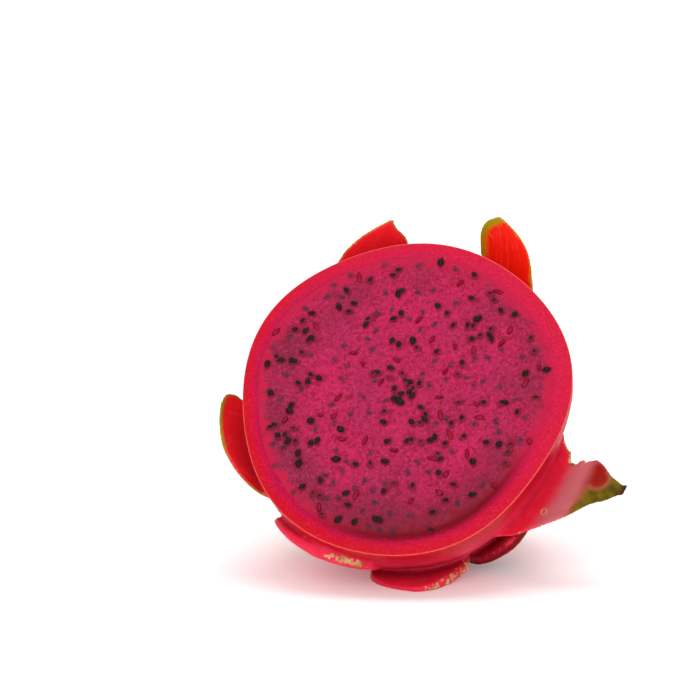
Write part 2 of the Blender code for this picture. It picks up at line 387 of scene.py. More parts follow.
def scale_surface(name, s, t):
    """The middle of a scale's thickness at shares s from root to tip and t from edge to edge."""
    root, bend, tip, half_width, bluntness, cup, roll = SCALES[name]
    share, degrees, height = bezier((root[0], root[1], 0), bend, tip, s)
    reach = half_width * np.maximum((1 - s**bluntness) ** CLOSING, TIP_WIDTH)
    for side, middle, length, depth in BENDS.get(name, ()):
        reach = reach * (1 - depth * np.exp(-(((s - middle) / length) ** 2)) * (t * side > 0))
    if name in TORN:
        bites = sum((size * np.sin(turns * s + start) for size, turns, start in BITES), BITE_MEAN)
        reach = reach * (1 - TORN[name][3] * torn_part(name, s, t) * np.clip(bites, 0, 1))
    lift = height * MM - SCALE_ROOT * (1 - s) ** ROOT_RUN_OUT
    off = t * reach / half_width
    lift = lift + (cup * off * off + roll * off) * MM * np.sin(math.pi * np.minimum(s, CUPPED_FROM))
    return place(share, np.radians(degrees + t * reach), lift)


def scale_sides(name):
    """A scale's outer and inner side, as grids of points, with s and t of each."""
    s, t = np.meshgrid(np.linspace(0, 1, SCALE_STEPS), np.linspace(-1, 1, SCALE_ACROSS), indexing="ij")
    middle = scale_surface(name, s, t)
    ahead, behind = np.minimum(s + SLOPE_STEP, 1), np.maximum(s - SLOPE_STEP, 0)
    along = scale_surface(name, ahead, t) - scale_surface(name, behind, t)
    across = scale_surface(name, s, t + SLOPE_STEP) - scale_surface(name, s, t - SLOPE_STEP)
    normal = np.cross(across, along)
    normal /= np.linalg.norm(normal, axis=-1, keepdims=True)
    thick_root, thick_tip, thick_edge = (size * MM for size in THICKNESS.get(name, PLAIN_THICKNESS))
    thick = thick_root + (thick_tip - thick_root) * s**THINNING
    half = (thick_edge + (thick - thick_edge) * np.sqrt(np.maximum(0, 1 - t * t)))[..., None] / 2
    return middle + normal * half, middle - normal * half, s, t


def scale_solid(name):
    """A scale as a closed solid."""
    outer, inner, _, _ = scale_sides(name)
    return loft(np.concatenate([outer, inner[:, ::-1]], axis=1))


def body_solid():
    """The fruit's round body, run a little past the cut so that the cut can be made clean."""
    along = np.sin(np.linspace(0, math.pi / 2, BODY_RINGS))
    shares = np.concatenate([[-PAST_CUT / HALF_LENGTH], along, [1.0]])
    angles = np.arange(BODY_AROUND) * math.tau / BODY_AROUND
    share, angle = np.meshgrid(shares, angles, indexing="ij")
    rings = place(share, angle, 0)
    rings[-1, :, :2] *= STEM_END
    return loft(rings)


class ScaleFinder:
    """Tells which scale, and what part of it, is nearest to a place on the skin."""

    FACTS = ("s", "t", "side", "left", "right", "dry", "index")

    def __init__(self):
        samples, facts = [], []
        for index, name in enumerate(SCALES):
            outer, inner, s, t = scale_sides(name)
            plain = EDGE_DRY.get(name, PLAIN_DRY)
            dry = plain + (TORN[name][4] - plain) * torn_part(name, s, t) if name in TORN else plain
            for side, grid in ((0.0, outer), (1.0, inner)):
                left, right = (
                    np.linalg.norm(grid[:, :, None] - grid[FREE_FROM:, column], axis=-1).min(axis=-1)
                    for column in (-1, 0)
                )
                samples.append(grid.reshape(-1, 3))
                rows = np.broadcast_arrays(s, t, side, left, right, dry, float(index))
                facts.append(np.stack(rows, -1).reshape(-1, len(self.FACTS)))
        self.samples, self.facts = np.concatenate(samples), np.concatenate(facts)
        self.tree = KDTree(len(self.samples))
        for index, point in enumerate(self.samples):
            self.tree.insert(point, index)
        self.tree.balance()

    def near(self, points):
        """The facts of the place on a scale that is nearest to each point, and how far off it is."""
        found = [self.tree.find(p) for p in points]
        facts = dict(zip(self.FACTS, self.facts[[f[1] for f in found]].T))
        facts["margin"] = np.minimum(facts["left"], facts["right"])
        return facts, np.array([f[2] for f in found])


def off_body(points):
    """How high each point stands off the fruit's round body."""
    angle = np.arctan2(points[:, 1], points[:, 0])
    return np.hypot(points[:, 0], points[:, 1]) - radius_at(-points[:, 2] / HALF_LENGTH, angle)


# Where a scale's root is smoothed into the body, from none to full: by share along the scale, by height off
# the body and by distance from the scale.
ROOT_SHARE, ROOT_HEIGHT, ROOT_NEAR = (0.55, 0.3), (4 * MM, 1 * MM), (2 * MM, 0.5 * MM)
ROOT_LEVELS = 4
EVEN_ROUNDS, ROOT_ROUNDS = 5, 30


def grown_skin(finder):
    """The body and its scales grown together as one closed surface."""
    skin = joined("peel_skin", [body_solid()] + [scale_solid(name) for name in SCALES])
    remesh = skin.modifiers.new("grown together", "REMESH")
    remesh.mode = "VOXEL"
    remesh.voxel_size = SKIN_VOXEL
    baked(skin)
    points = coords(skin.data)
    fact, far = finder.near(points)
    root = (
        smoothstep(*ROOT_SHARE, fact["s"]) * smoothstep(*ROOT_HEIGHT, off_body(points))
        * smoothstep(*ROOT_NEAR, far)
    )
    group = skin.vertex_groups.new(name="root")
    for level in range(1, ROOT_LEVELS + 1):
        members = np.nonzero(np.round(root * ROOT_LEVELS) == level)[0].tolist()
        group.add(members, level / ROOT_LEVELS, "REPLACE")
    even = skin.modifiers.new("even", "SMOOTH")
    even.factor, even.iterations = 0.5, EVEN_ROUNDS
    fillet = skin.modifiers.new("roots run out", "SMOOTH")
    fillet.factor, fillet.iterations, fillet.vertex_group = 0.5, ROOT_ROUNDS, "root"
    thin = skin.modifiers.new("fewer faces", "DECIMATE")
    thin.ratio = SKIN_TRIANGLES / (2 * len(skin.data.polygons))
    return baked(skin)


# How a fold fades, from none to full: with distance from its scale, and across the scale.
FOLD_NEAR, FOLD_ACROSS = (4 * MM, 1.5 * MM), (1.0, 0.7)


def folded(fact, far, bulge):
    """How much of a fold or ridge each place near the folded scale is on, from 0 to 1."""
    middle, reach, _ = bulge
    on_it = fact["side"] * smoothstep(*FOLD_NEAR, far) * (fact["index"] == number_of(FOLDED_SCALE))
    on_it = on_it * smoothstep(*FOLD_ACROSS, np.abs(fact["t"]))
    return on_it * np.exp(-(((fact["s"] - middle) / reach) ** 2))


SWELLING, SWELLING_SIZE = 0.35 * MM, 14 * MM
CREASE = 0.22 * MM
# Creases to a scale's half width and to its length, and how far apart the scales' own patterns are drawn.
CREASES_ACROSS, CREASES_ALONG, CREASES_APART = 3, 0.8, 7
# Where creases take over from swellings, from none to full: by distance from a scale, and off the body. They
# die out to a scale's edges, and all relief dies out to the cut.
CREASED_NEAR, CREASED_HEIGHT = (1.2 * MM, 0.5 * MM), (0, 1.5 * MM)
CREASED_MARGIN, RELIEF_DEPTH = (0, 2 * MM), (-1 * MM, -4 * MM)


def add_skin_relief(mesh, finder):
    """Low swellings on the body, creases that run along the scales, and the fold with its ridge."""
    points = coords(mesh)
    fact, far = finder.near(points)
    on_scale = smoothstep(*CREASED_NEAR, far) * smoothstep(*CREASED_HEIGHT, off_body(points))
    broad = lumps(points, SWELLING_SIZE, 3)
    across = fact["t"] * CREASES_ACROSS + fact["index"] * CREASES_APART
    creases = lumps(np.stack([across, fact["s"] * CREASES_ALONG, fact["side"]], -1), 1.0, 3)
    raised = CREASE * creases * on_scale * smoothstep(*CREASED_MARGIN, fact["margin"])
    height = SWELLING * broad * (1 - on_scale) + raised
    for bulge in (FOLD, RIDGE):
        height += bulge[2] * MM * folded(fact, far, bulge)
    inside = smoothstep(*RELIEF_DEPTH, points[:, 2])
    set_coords(mesh, points + normals(mesh) * (height * inside)[:, None])


CUT_TOLERANCE = 2e-6
RIM_LEAST_STEP = 0.08 * MM


def cut_off(mesh):
    """Cuts the skin at the cut face and leaves it open there; the rim's points come in order round it."""
    bm = bmesh.new()
    bm.from_mesh(mesh)
    geometry = list(bm.verts) + list(bm.edges) + list(bm.faces)
    bmesh.ops.bisect_plane(
        bm, geom=geometry, dist=CUT_TOLERANCE, plane_co=(0, 0, 0), plane_no=(0, 0, 1), clear_outer=True
    )
    bmesh.ops.remove_doubles(bm, verts=[v for v in bm.verts if v.is_boundary], dist=RIM_LEAST_STEP)
    bm.verts.index_update()
    rim = sorted((v for v in bm.verts if v.is_boundary), key=lambda v: math.atan2(v.co.y, v.co.x))
    order = [v.index for v in rim]
    bm.to_mesh(mesh)
    bm.free()
    return order


# The cut peel's section from its outer edge inwards: share of the wall, and height in mm.
RIM_SECTION = (
    (0.012, 0.03), (0.03, 0.05), (0.06, 0.06), (0.10, 0.05), (0.16, 0.03), (0.24, 0.01), (0.32, 0.0),
    (0.40, 0.0), (0.48, 0.0), (0.56, 0.0), (0.64, 0.0), (0.72, 0.0), (0.80, 0.0), (0.88, -0.02),
    (0.96, -0.05), (1.04, -0.09), (1.12, -0.13), (1.20, -0.18),
)
# At the cut the cavity starts this share of the wall inside the peel's inner face, and it ends this wide.
PAST_WALL, CAVITY_END = 0.2, 0.5 * MM
WALL_RINGS = 12
# Juice gathers and shade is painted round this angle, and from these cosines off it, from none to full.
DISH_AT, LOW_SIDE = math.radians(-75), (0.50, 0.97)
# How far the cut peel has shrunk down there, in mm, and how that grows across the wall.
DISH_DEEP, DISH_CURVE = 1.1, 1.4
# How much juice and painted shade darken it, and over which shares of the wall.
JUICE_AND_SHADE, JUICE_AND_SHADE_ACROSS = 0.85, (0.50, 1.20)


def low_side(angle):
    """1 along the bottom of the cut, where juice gathers and shade is painted, and 0 from its sides up."""
    return smoothstep(*LOW_SIDE, np.cos(angle - DISH_AT))


def dish(angle, share):
    """How far the cut peel has shrunk down, in mm, most of all along the bottom of the cut."""
    return DISH_DEEP * low_side(angle) * np.clip(share, 0, 1) ** DISH_CURVE


def rim_and_cavity(angle, radius):
    """Rings of points over the cut wall and down the cavity, and each point's share across the wall."""
    wall = wall_at(angle)
    rings, across = [], []
    for share, height in RIM_SECTION:
        rings.append(round_axis(radius - wall * share, angle, (height - dish(angle, share)) * MM))
        across.append(share)
    for down in np.linspace(0, 1, WALL_RINGS)[1:]:
        share = down * (1 - PEEL_WALL / HALF_LENGTH)
        inner = radius_at(share, angle, PEEL_WALL) - (wall - PEEL_WALL) * (1 - down)
        inner = np.maximum(inner - PAST_WALL * wall * (1 - down), CAVITY_END)
        rings.append(round_axis(inner, angle, -share * HALF_LENGTH))
        across.append(1 + PAST_WALL)
    return rings, np.repeat(across, len(angle))


def add_cut_and_cavity(skin, order):
    """Closes the peel with its cut rim and the wall of the cavity that the pulp fills."""
    mesh = skin.data
    points = coords(mesh)
    rim = points[order]
    rings, across = rim_and_cavity(np.arctan2(rim[:, 1], rim[:, 0]), np.hypot(rim[:, 0], rim[:, 1]))
    start, around = len(points), len(rim)
    everything = np.concatenate([points, np.concatenate(rings)])
    faces = [list(face.vertices) for face in mesh.polygons]
    outside = len(faces)
    ids = [list(order)] + [[start + k * around + j for j in range(around)] for k in range(len(rings))]
    for a, b in zip(ids, ids[1:]):
        faces += [[a[j], a[(j + 1) % around], b[(j + 1) % around], b[j]] for j in range(around)]
    faces.append(ids[-1])
    closed = bpy.data.meshes.new("peel_skin")
    closed.from_pydata(everything.tolist(), [], faces)
    closed.polygons.foreach_set("material_index", [0] * outside + [1] * (len(faces) - outside))
    skin.data = closed
    turn_outwards(closed)
    across = np.concatenate([np.zeros(start), across])
    paint(closed, "across", across)
    low = low_side(np.arctan2(everything[:, 1], everything[:, 0]))
    # Juice and painted shade: darker along the bottom of the cut, towards the pulp.
    paint(closed, "juice_and_shade", JUICE_AND_SHADE * low * smoothstep(*JUICE_AND_SHADE_ACROSS, across))


# How the skin's facts fade, each from none to full. What is on a scale, by distance from it and height off
# the body; the size of the wobble that roughens what follows; where the skin reddens towards the cut, as a
# share of the half's length; and the angle round which the cut peel is pinkest.
SCALE_NEAR, SCALE_HEIGHT = (1.6 * MM, 0.6 * MM), (-0.3 * MM, 2.0 * MM)
WOBBLE_SIZE = 6 * MM
NEAR_CUT, BLUSH_AT = (0.25, 0.04), math.radians(45)
# The green of a tip: the share along that it takes to come in, where it has to be full, how it wobbles, and
# where its slant stops.
TIP_RUN, TIP_FULL, TIP_WOBBLE, SLANT_STOPS = 0.28, 1.02, 0.06, (1.0, 0.8)
# The green of an edge: as shares of its width, its wobble and its least width in mm, its amount, and where
# along the scale it comes in.
EDGE_FADE, EDGE_WOBBLE, EDGE_LEAST, EDGE_AMOUNT, EDGE_FROM = (1.3, 0.5), 0.5, 0.05, 0.9, (0.15, 0.5)
# The bleached band along a scale, and how it wobbles.
BLEACHED_FROM, BLEACHED_TO, BLEACHED_WOBBLE = (0.36, 0.52), (0.80, 0.66), 0.04
# The painted shade of an inner side, and the lighter painted shade in the crease at every scale's root.
SHADE_ALONG, ROOT_SHADE, ROOT_SHADE_ALONG = (0.85, 0.35), 0.7, (0.32, 0.14)
# A blotch's own fade, the fade of the green that it takes away, how much of that goes, and their wobble.
BLOTCH_FADE, SPARED_FADE, SPARED, BLOTCH_WOBBLE = (1.35, 0.5), (1.05, 0.35), 0.9, 0.15
# Green tips wither from here on, on scales whose green starts before this share.
WITHERED_ALONG, WITHERS_BELOW = (0.92, 1.0), 0.9
# A place counts as on a scale from this share on; elsewhere it counts as this many mm in from any edge.
ON_SCALE_FROM, NO_EDGE = 0.3, 5.0
# How far apart the scales' own streaks are drawn.
STREAKS_APART = 3


def ripeness_of(name):
    """A scale's row of RIPENESS, or the one for its kind."""
    return STEM_RIPENESS if name.startswith("stem") else RIPENESS.get(name, PLAIN_RIPENESS)


def green_share(fact, wobble, ripeness):
    """How green each place would be if it were on a scale: its tip and its two edges."""
    start, amount, _, green_left, green_right, slant, _ = ripeness
    leant = fact["s"] - slant * fact["t"] * smoothstep(*SLANT_STOPS, fact["s"])
    tip = smoothstep(start, np.minimum(start + TIP_RUN, TIP_FULL), leant + TIP_WOBBLE * wobble)
    edges = []
    for edge, green in (("left", green_left), ("right", green_right)):
        width = np.maximum(green + EDGE_WOBBLE * wobble, EDGE_LEAST)
        edges.append(smoothstep(*EDGE_FADE, fact[edge] / MM / width) * (green > 0))
    edging = EDGE_AMOUNT * np.maximum(*edges) * smoothstep(*EDGE_FROM, fact["s"])
    return np.maximum(amount * tip, edging)


def blotches(fact, wobble):
    """How dusky each place would be if it were on a scale, and how much of its green that takes away."""
    dusky, spared = np.zeros(len(wobble)), np.zeros(len(wobble))
    for name, ((middle_s, reach_s), (middle_t, reach_t)) in BLOTCHES.items():
        off = np.hypot((fact["s"] - middle_s) / reach_s, (fact["t"] - middle_t) / reach_t)
        off = off + BLOTCH_WOBBLE * wobble
        on_it = fact["index"] == number_of(name)
        dusky += smoothstep(*BLOTCH_FADE, off) * on_it
        spared += smoothstep(*SPARED_FADE, off) * on_it
    return dusky, spared


def painted_shade_red(fact, far, on_scale):
    """Painted shade, deep red: inner sides that face the ground, creases at the roots, and the fold."""
    inside = np.isin(fact["index"], [number_of(name) for name in SHADED_INSIDE])
    all_over = fact["index"] == number_of(SHADED_SCALE)
    deep_shade = np.maximum(fact["side"] * smoothstep(*SHADE_ALONG, fact["s"]) * inside, all_over)
    unfolded = fact["index"] != number_of(FOLDED_SCALE)
    root = ROOT_SHADE * fact["side"] * smoothstep(*ROOT_SHADE_ALONG, fact["s"]) * unfolded
    return np.maximum(np.maximum(deep_shade, root) * on_scale, folded(fact, far, FOLD))


def paint_skin(mesh, finder):
    """What each place on the skin is, for the peel's material: scale or body, and how ripe, warm and dry."""
    points = coords(mesh)
    fact, far = finder.near(points)
    on_scale = smoothstep(*SCALE_NEAR, far) * smoothstep(*SCALE_HEIGHT, off_body(points))
    ripeness = np.array([ripeness_of(name) for name in SCALES])[fact["index"].astype(int)].T
    starts, warmth, bleached = ripeness[0], ripeness[2], ripeness[6]
    wobble = lumps(points, WOBBLE_SIZE, 2)
    band_start = smoothstep(*BLEACHED_FROM, fact["s"] + BLEACHED_WOBBLE * wobble)
    band = band_start * smoothstep(*BLEACHED_TO, fact["s"])
    dusky, spared = blotches(fact, wobble)
    paint(mesh, "bleached", bleached * band * on_scale * fact["side"])
    paint(mesh, "inner", fact["side"] * on_scale)
    paint(mesh, "warm", fact["side"] * on_scale * warmth)
    # Painted shade: deep red where inner sides face the ground, in the creases at the roots and in the fold.
    paint(mesh, "deep_shade", painted_shade_red(fact, far, on_scale))
    paint(mesh, "dusky", dusky * on_scale)
    paint(mesh, "green", green_share(fact, wobble, ripeness) * on_scale * (1 - SPARED * spared))
    paint(mesh, "withered", smoothstep(*WITHERED_ALONG, fact["s"]) * (starts < WITHERS_BELOW) * on_scale)
    paint(mesh, "blush", 0.5 + 0.5 * np.cos(np.arctan2(points[:, 1], points[:, 0]) - BLUSH_AT))
    paint(mesh, "along", fact["s"] * on_scale)
    paint(mesh, "across_scale", fact["t"] + STREAKS_APART * fact["index"])
    paint(mesh, "dry", fact["dry"] - np.where(on_scale > ON_SCALE_FROM, fact["margin"] / MM, NO_EDGE))
    paint(mesh, "near_cut", smoothstep(*NEAR_CUT, -points[:, 2] / HALF_LENGTH) * (1 - on_scale))


def make_peel():
    """The peel with all its scales, cut open."""
    finder = ScaleFinder()
    skin = grown_skin(finder)
    add_skin_relief(skin.data, finder)
    add_cut_and_cavity(skin, cut_off(skin.data))
    paint_skin(skin.data, finder)
    return into_row(skin)


# ---------------------------------------------------------------- pulp

PULP_GRID = 270
PULP_RINGS = 10
# How far the pulp's cut reaches over the peel's wall.
PULP_OVER = 0.5 * MM
# The cut face of the pulp, in mm: how proud it stands, the height of its grain and of its swellings, how far
# it has sunk at its margin, and over which shares of its radius.
PULP_PROUD, PULP_GRAIN, PULP_SWELLING, PULP_SUNK, PULP_MARGIN = 0.05, 0.06, 0.12, 0.30, (0.945, 0.99)
# The sizes of its grain and of its swellings, and where the swellings start.
PULP_GRAIN_SIZE, PULP_SWELLING_SIZE, PULP_SWELLING_START = 1.1 * MM, 9 * MM, 5.0
# Below the cut: how much of the cavity's depth the pulp fills, how far it stays clear of the wall at the
# bottom as a share of the wall, and its last ring's radius.
PULP_DEPTH, PULP_CLEAR, PULP_END = 0.97, 0.4, 0.3 * MM
# Over which shares of its radius the pulp gets darker at its low side.
PULP_SHADED = (0.60, 0.92)


def pulp_radius(angle):
    """The radius of the pulp in the cut."""
    return CUT_RADIUS * outline(angle, 0.0) - wall_at(angle)


def cut_sheet(count, over):
    """A grid over the cut, to this far past the pulp: points, angles, shares of the radius, and faces."""
    steps = np.linspace(-1, 1, count)
    u, v = np.meshgrid(steps, steps, indexing="ij")
    x, y = u * np.sqrt(1 - v * v / 2), v * np.sqrt(1 - u * u / 2)
    angle, share = np.arctan2(y, x).ravel(), np.hypot(x, y).ravel()
    i, j = np.meshgrid(np.arange(count - 1), np.arange(count - 1), indexing="ij")
    a = (i * count + j).ravel()
    faces = np.stack([a, a + count, a + count + 1, a + 1], -1).tolist()
    return round_axis(share * (pulp_radius(angle) + over), angle, 0.0), angle, share, faces


def make_pulp():
    """The pulp: its cut face as a fine grid, and below that the shape of the cavity that it fills."""
    top, angle, share, faces = cut_sheet(PULP_GRID, PULP_OVER)
    grain = PULP_GRAIN * lumps(top, PULP_GRAIN_SIZE, 3)
    swelling = PULP_SWELLING * lumps(top, PULP_SWELLING_SIZE, 2, PULP_SWELLING_START)
    sunk = (PULP_SUNK + dish(angle, 1.0)) * smoothstep(*PULP_MARGIN, share)
    top[:, 2] = (PULP_PROUD + grain + swelling - sunk) * MM
    n = PULP_GRID
    border = (
        [k * n for k in range(n)] + [(n - 1) * n + k for k in range(1, n)]
        + [k * n + n - 1 for k in range(n - 2, -1, -1)] + [k for k in range(n - 2, 0, -1)]
    )
    around, edge = len(border), angle[border]
    rings = []
    for down in np.linspace(0, 1, PULP_RINGS)[1:]:
        depth = down * (1 - PEEL_WALL / HALF_LENGTH) * PULP_DEPTH
        radius = radius_at(depth, edge, PEEL_WALL) - (wall_at(edge) - PEEL_WALL) * (1 - down)
        radius = np.maximum(radius - PULP_CLEAR * wall_at(edge) * down, PULP_END)
        rings.append(round_axis(radius, edge, -depth * HALF_LENGTH))
    ids = [border] + [[n * n + k * around + m for m in range(around)] for k in range(len(rings))]
    for a, b in zip(ids, ids[1:]):
        faces += [[a[m], b[m], b[(m + 1) % around], a[(m + 1) % around]] for m in range(around)]
    faces.append(ids[-1][::-1])
    pulp = new_object("pulp", np.concatenate([top] + rings), faces)
    turn_outwards(pulp.data)
    below = around * len(rings)
    paint(pulp.data, "out", np.concatenate([share, np.ones(below)]))
    shaded = low_side(angle) * smoothstep(*PULP_SHADED, share)
    paint(pulp.data, "shaded", np.concatenate([shaded, np.zeros(below)]))
    return pulp


# ---------------------------------------------------------------- stalk

STALK_AROUND, STALK_RINGS = 120, 26
# How far the stalk starts inside the fruit, and its size as a share of the solid's.
STALK_SUNK, STALK_SIZE = 1.5 * MM, 0.97
# How much it has shrunk at its waist and all round, and how much of the ribs' depth there is at its root.
STALK_WAIST, STALK_SHRUNK, RIBS_AT_ROOT = 0.12, 0.08, 0.4
# Ribs round the stalk: share of the radius, ribs in a turn, and start.
STALK_RIBS = ((0.05, 5, 0.4), (0.035, 13, 0), (0.02, 29, 1))
# How far the break slants, and its section inwards: share of the radius, and depth in mm.
BREAK_SLANT = 0.06
BREAK_SECTION = ((0.9, 0.0), (0.78, 0.35), (0.6, 0.8), (0.4, 0.75), (0.2, 0.5), (0.05, 0.5))
CORK_HIGH, CORK_SIZE = 0.18 * MM, 1.6 * MM


def make_stalk():
    """The dry stub of the stalk: ribbed, shrunken at its waist, and broken off unevenly."""
    inverse = AXIS.inverted()
    points = np.array([inverse @ Vector(p) for p in node_points("stem_stub")])
    start, end = points[:, 2].max() + STALK_SUNK, points[:, 2].min()
    radius = np.hypot(points[:, 0], points[:, 1]).max()
    angle = np.arange(STALK_AROUND) * math.tau / STALK_AROUND
    ribs = sum(size * np.cos(count * angle + first) for size, count, first in STALK_RIBS)
    rings = []
    for share in np.linspace(0, 1, STALK_RINGS):
        ribbed = 1 - STALK_SHRUNK + ribs * (RIBS_AT_ROOT + (1 - RIBS_AT_ROOT) * share)
        r = radius * (STALK_SIZE - STALK_WAIST * math.sin(math.pi * share)) * ribbed
        z = start + (end - start) * share * (1 - BREAK_SLANT * (1 + np.cos(2 * angle)) * share)
        rings.append(round_axis(r, angle, z))
    for inset, sunk in BREAK_SECTION:
        rings.append(rings[STALK_RINGS - 1] * (inset, inset, 1) + (0, 0, sunk * MM))
    stalk = new_object("stalk", *loft(np.stack(rings)))
    turn_outwards(stalk.data)
    points = coords(stalk.data)
    cork = CORK_HIGH * lumps(points, CORK_SIZE, 3)
    set_coords(stalk.data, points + normals(stalk.data) * cork[:, None])
    broken = np.arange(len(rings)) >= STALK_RINGS - 1
    paint(stalk.data, "broken", np.repeat(broken.astype(float), STALK_AROUND))
    return stalk


# ---------------------------------------------------------------- seeds

SEED_LONG, SEED_WIDE, SEED_THICK = 2.45 * MM, 1.7 * MM, 1.3 * MM
SEED_AROUND, SEED_RINGS = 10, 7
# How fast a seed rounds off, its girth at the blunt end, and how much of that the other end loses.
SEED_ROUNDING, SEED_BUTT, SEED_TAPER = 0.75, 1.12, 0.42
SEED_DRAW = 7
# Sizes of seeds, how much each of a seed's three sizes strays from that, and how high seeds lie.
SEED_SIZES, SEED_STRAY, SEED_HEIGHTS = (0.66, 1.10), (0.90, 1.10), (-0.35 * MM, 0.15 * MM)
POCKET_LONG, POCKET_WIDE = 2.8 * MM, 1.3 * MM
# A pocket's section, from under its lip over it and inwards: share of its size, and height in mm.
POCKET_SECTION = (
    (0.9, -0.55), (1.0, -0.1), (1.0, 0.05), (0.86, 0.09), (0.7, 0.0), (0.5, -0.16), (0.2, -0.2),
)
POCKET_AROUND = 14
# How much a pocket narrows to one end, how wide it is as a share, and beyond which share of its section and
# over which height in mm its lip runs.
POCKET_TAPER, POCKET_GIRTH, LIP_FROM, LIP_OVER = 0.35, 0.9, 0.8, -0.2
# The least and the most of a pocket's length, width and depth, and how high pockets lie.
POCKET_SIZES = ((0.4, 0.5, 0.8), (1.3, 1.3, 1.2))
POCKET_HEIGHT = 0.05 * MM

# How closely things lie in the cut: the least spacing, and the most to a square metre. They keep this far in
# from the pulp's edge; pockets keep clear of seeds, and seeds under the surface of both.
SEED_SPREAD, POCKET_SPREAD, SUNKEN_SPREAD = (1.05 * MM, 600000.0), (3.2 * MM, 34000.0), (2.6 * MM, 90000.0)
SHEET_GRID, SHEET_INSET = 70, -1.2 * MM
POCKET_GAP, SUNKEN_GAP = 1.8 * MM, 1.7 * MM
# How far from flat seeds, pockets and sunken seeds lie, in radians.
SEED_TILT, POCKET_TILT, SUNKEN_TILT = 0.22, 0.05, 0.0
# The share of the most seeds that there are all over, and where they stand thicker: each knot's middle and
# its spread, right and up, in mm, and its share.
SEEDS_ALL_OVER = 0.095
SEED_KNOTS = (((-1, 1), (2.6, 2.6), 0.9), ((2, -12), (9, 4), 0.14))
POCKETS_ALL_OVER = 0.5

# Relief round what is set in the pulp, in mm: the seats' depth, the rise over sunken seeds, and the depth
# under the pockets.
SEAT_DEEP, SUNKEN_RISE, POCKET_DEEP = 0.16, 0.1, 0.38
# Where each fades, as shares of the seed's or the pocket's size: a seat's inner and its outer side, sunken
# seeds, and pockets.
SEAT_INNER, SEAT_OUTER, SUNKEN_FADE, POCKET_FADE = (0.75, 1.0), (1.6, 1.1), (1.3, 0.4), (1.1, 0.7)
# Only the pulp above this is touched. Juice and a painted shadow lie on each seed's lower side, and show out
# to these shares.
TOUCHED_ABOVE = -1.2 * MM
JUICE_AND_SHADOW_OFF, JUICE_AND_SHADOW_FADE, SHOWN_FADE = (0.15 * MM, -0.3 * MM, 0.0), (1.35, 1.0), (1.35, 0.3)
# What counts as far from any seed or pocket, as a share of its size.
FAR_OFF = 9.0


def seed_mesh():
    """A seed lying on its side: an egg with one end drawn to a blunt point, in a few dozen faces."""
    around = SEED_AROUND
    points, faces = [(-SEED_LONG / 2, 0, 0)], []
    for k in range(1, SEED_RINGS):
        along = k / SEED_RINGS
        girth = math.sin(math.pi * along) ** SEED_ROUNDING * (SEED_BUTT - SEED_TAPER * along)
        for m in range(around):
            turn = math.tau * m / around
            y, z = girth * SEED_WIDE / 2 * math.cos(turn), girth * SEED_THICK / 2 * math.sin(turn)
            points.append(((along - 0.5) * SEED_LONG, y, z))
    points.append((SEED_LONG / 2, 0, 0))
    last = len(points) - 1
    faces += [(0, 1 + (m + 1) % around, 1 + m) for m in range(around)]
    for k in range(SEED_RINGS - 2):
        for m in range(around):
            a, b = 1 + k * around + m, 1 + k * around + (m + 1) % around
            faces.append((a, b, b + around, a + around))
    faces += [(last, last - around + m, last - around + (m + 1) % around) for m in range(around)]
    seed = new_object("seed_shape", points, faces)
    turn_outwards(seed.data)
    seed.data.shade_smooth()
    return seed


def pocket_mesh():
    """The lining of a pocket that a seed fell out of: a teardrop dish with a low lip."""
    turn = np.arange(POCKET_AROUND) * math.tau / POCKET_AROUND
    x, y = np.cos(turn), np.sin(turn) * (1 - POCKET_TAPER * np.cos(turn)) * POCKET_GIRTH
    rings = [
        np.stack([x * k * POCKET_LONG / 2, y * k * POCKET_WIDE / 2, np.full(POCKET_AROUND, z * MM)], -1)
        for k, z in POCKET_SECTION
    ]
    pocket = new_object("pocket_shape", *loft(np.stack(rings)))
    turn_outwards(pocket.data)
    lip = [1.0 if k > LIP_FROM and z > LIP_OVER else 0.0 for k, z in POCKET_SECTION]
    paint(pocket.data, "lip", np.repeat(lip, POCKET_AROUND))
    pocket.data.shade_smooth()
    return pocket


def scatter_tree():
    """Geometry Nodes: points over a face, thick where its 'crowd' is high."""
    tree = bpy.data.node_groups.new("scattered places", "GeometryNodeTree")
    tree.interface.new_socket("Geometry", in_out="INPUT", socket_type="NodeSocketGeometry")
    sizes = (("Spacing", "NodeSocketFloat"), ("Most per Area", "NodeSocketFloat"), ("Draw", "NodeSocketInt"))
    for name, kind in sizes:
        tree.interface.new_socket(name, in_out="INPUT", socket_type=kind)
    tree.interface.new_socket("Geometry", in_out="OUTPUT", socket_type="NodeSocketGeometry")
    inside = add_node(tree, "NodeGroupInput")
    crowd = add_node(tree, "GeometryNodeInputNamedAttribute", {"Name": "crowd"}, data_type="FLOAT")
    points = add_node(
        tree, "GeometryNodeDistributePointsOnFaces",
        {"Mesh": inside.outputs["Geometry"], "Distance Min": inside.outputs["Spacing"],
         "Density Max": inside.outputs["Most per Area"], "Density Factor": crowd.outputs["Attribute"],
         "Seed": inside.outputs["Draw"]},
        distribute_method="POISSON",
    )
    corners = add_node(tree, "GeometryNodePointsToVertices", {"Points": points.outputs["Points"]})
    add_node(tree, "NodeGroupOutput", {"Geometry": corners.outputs["Mesh"]})
    return tree


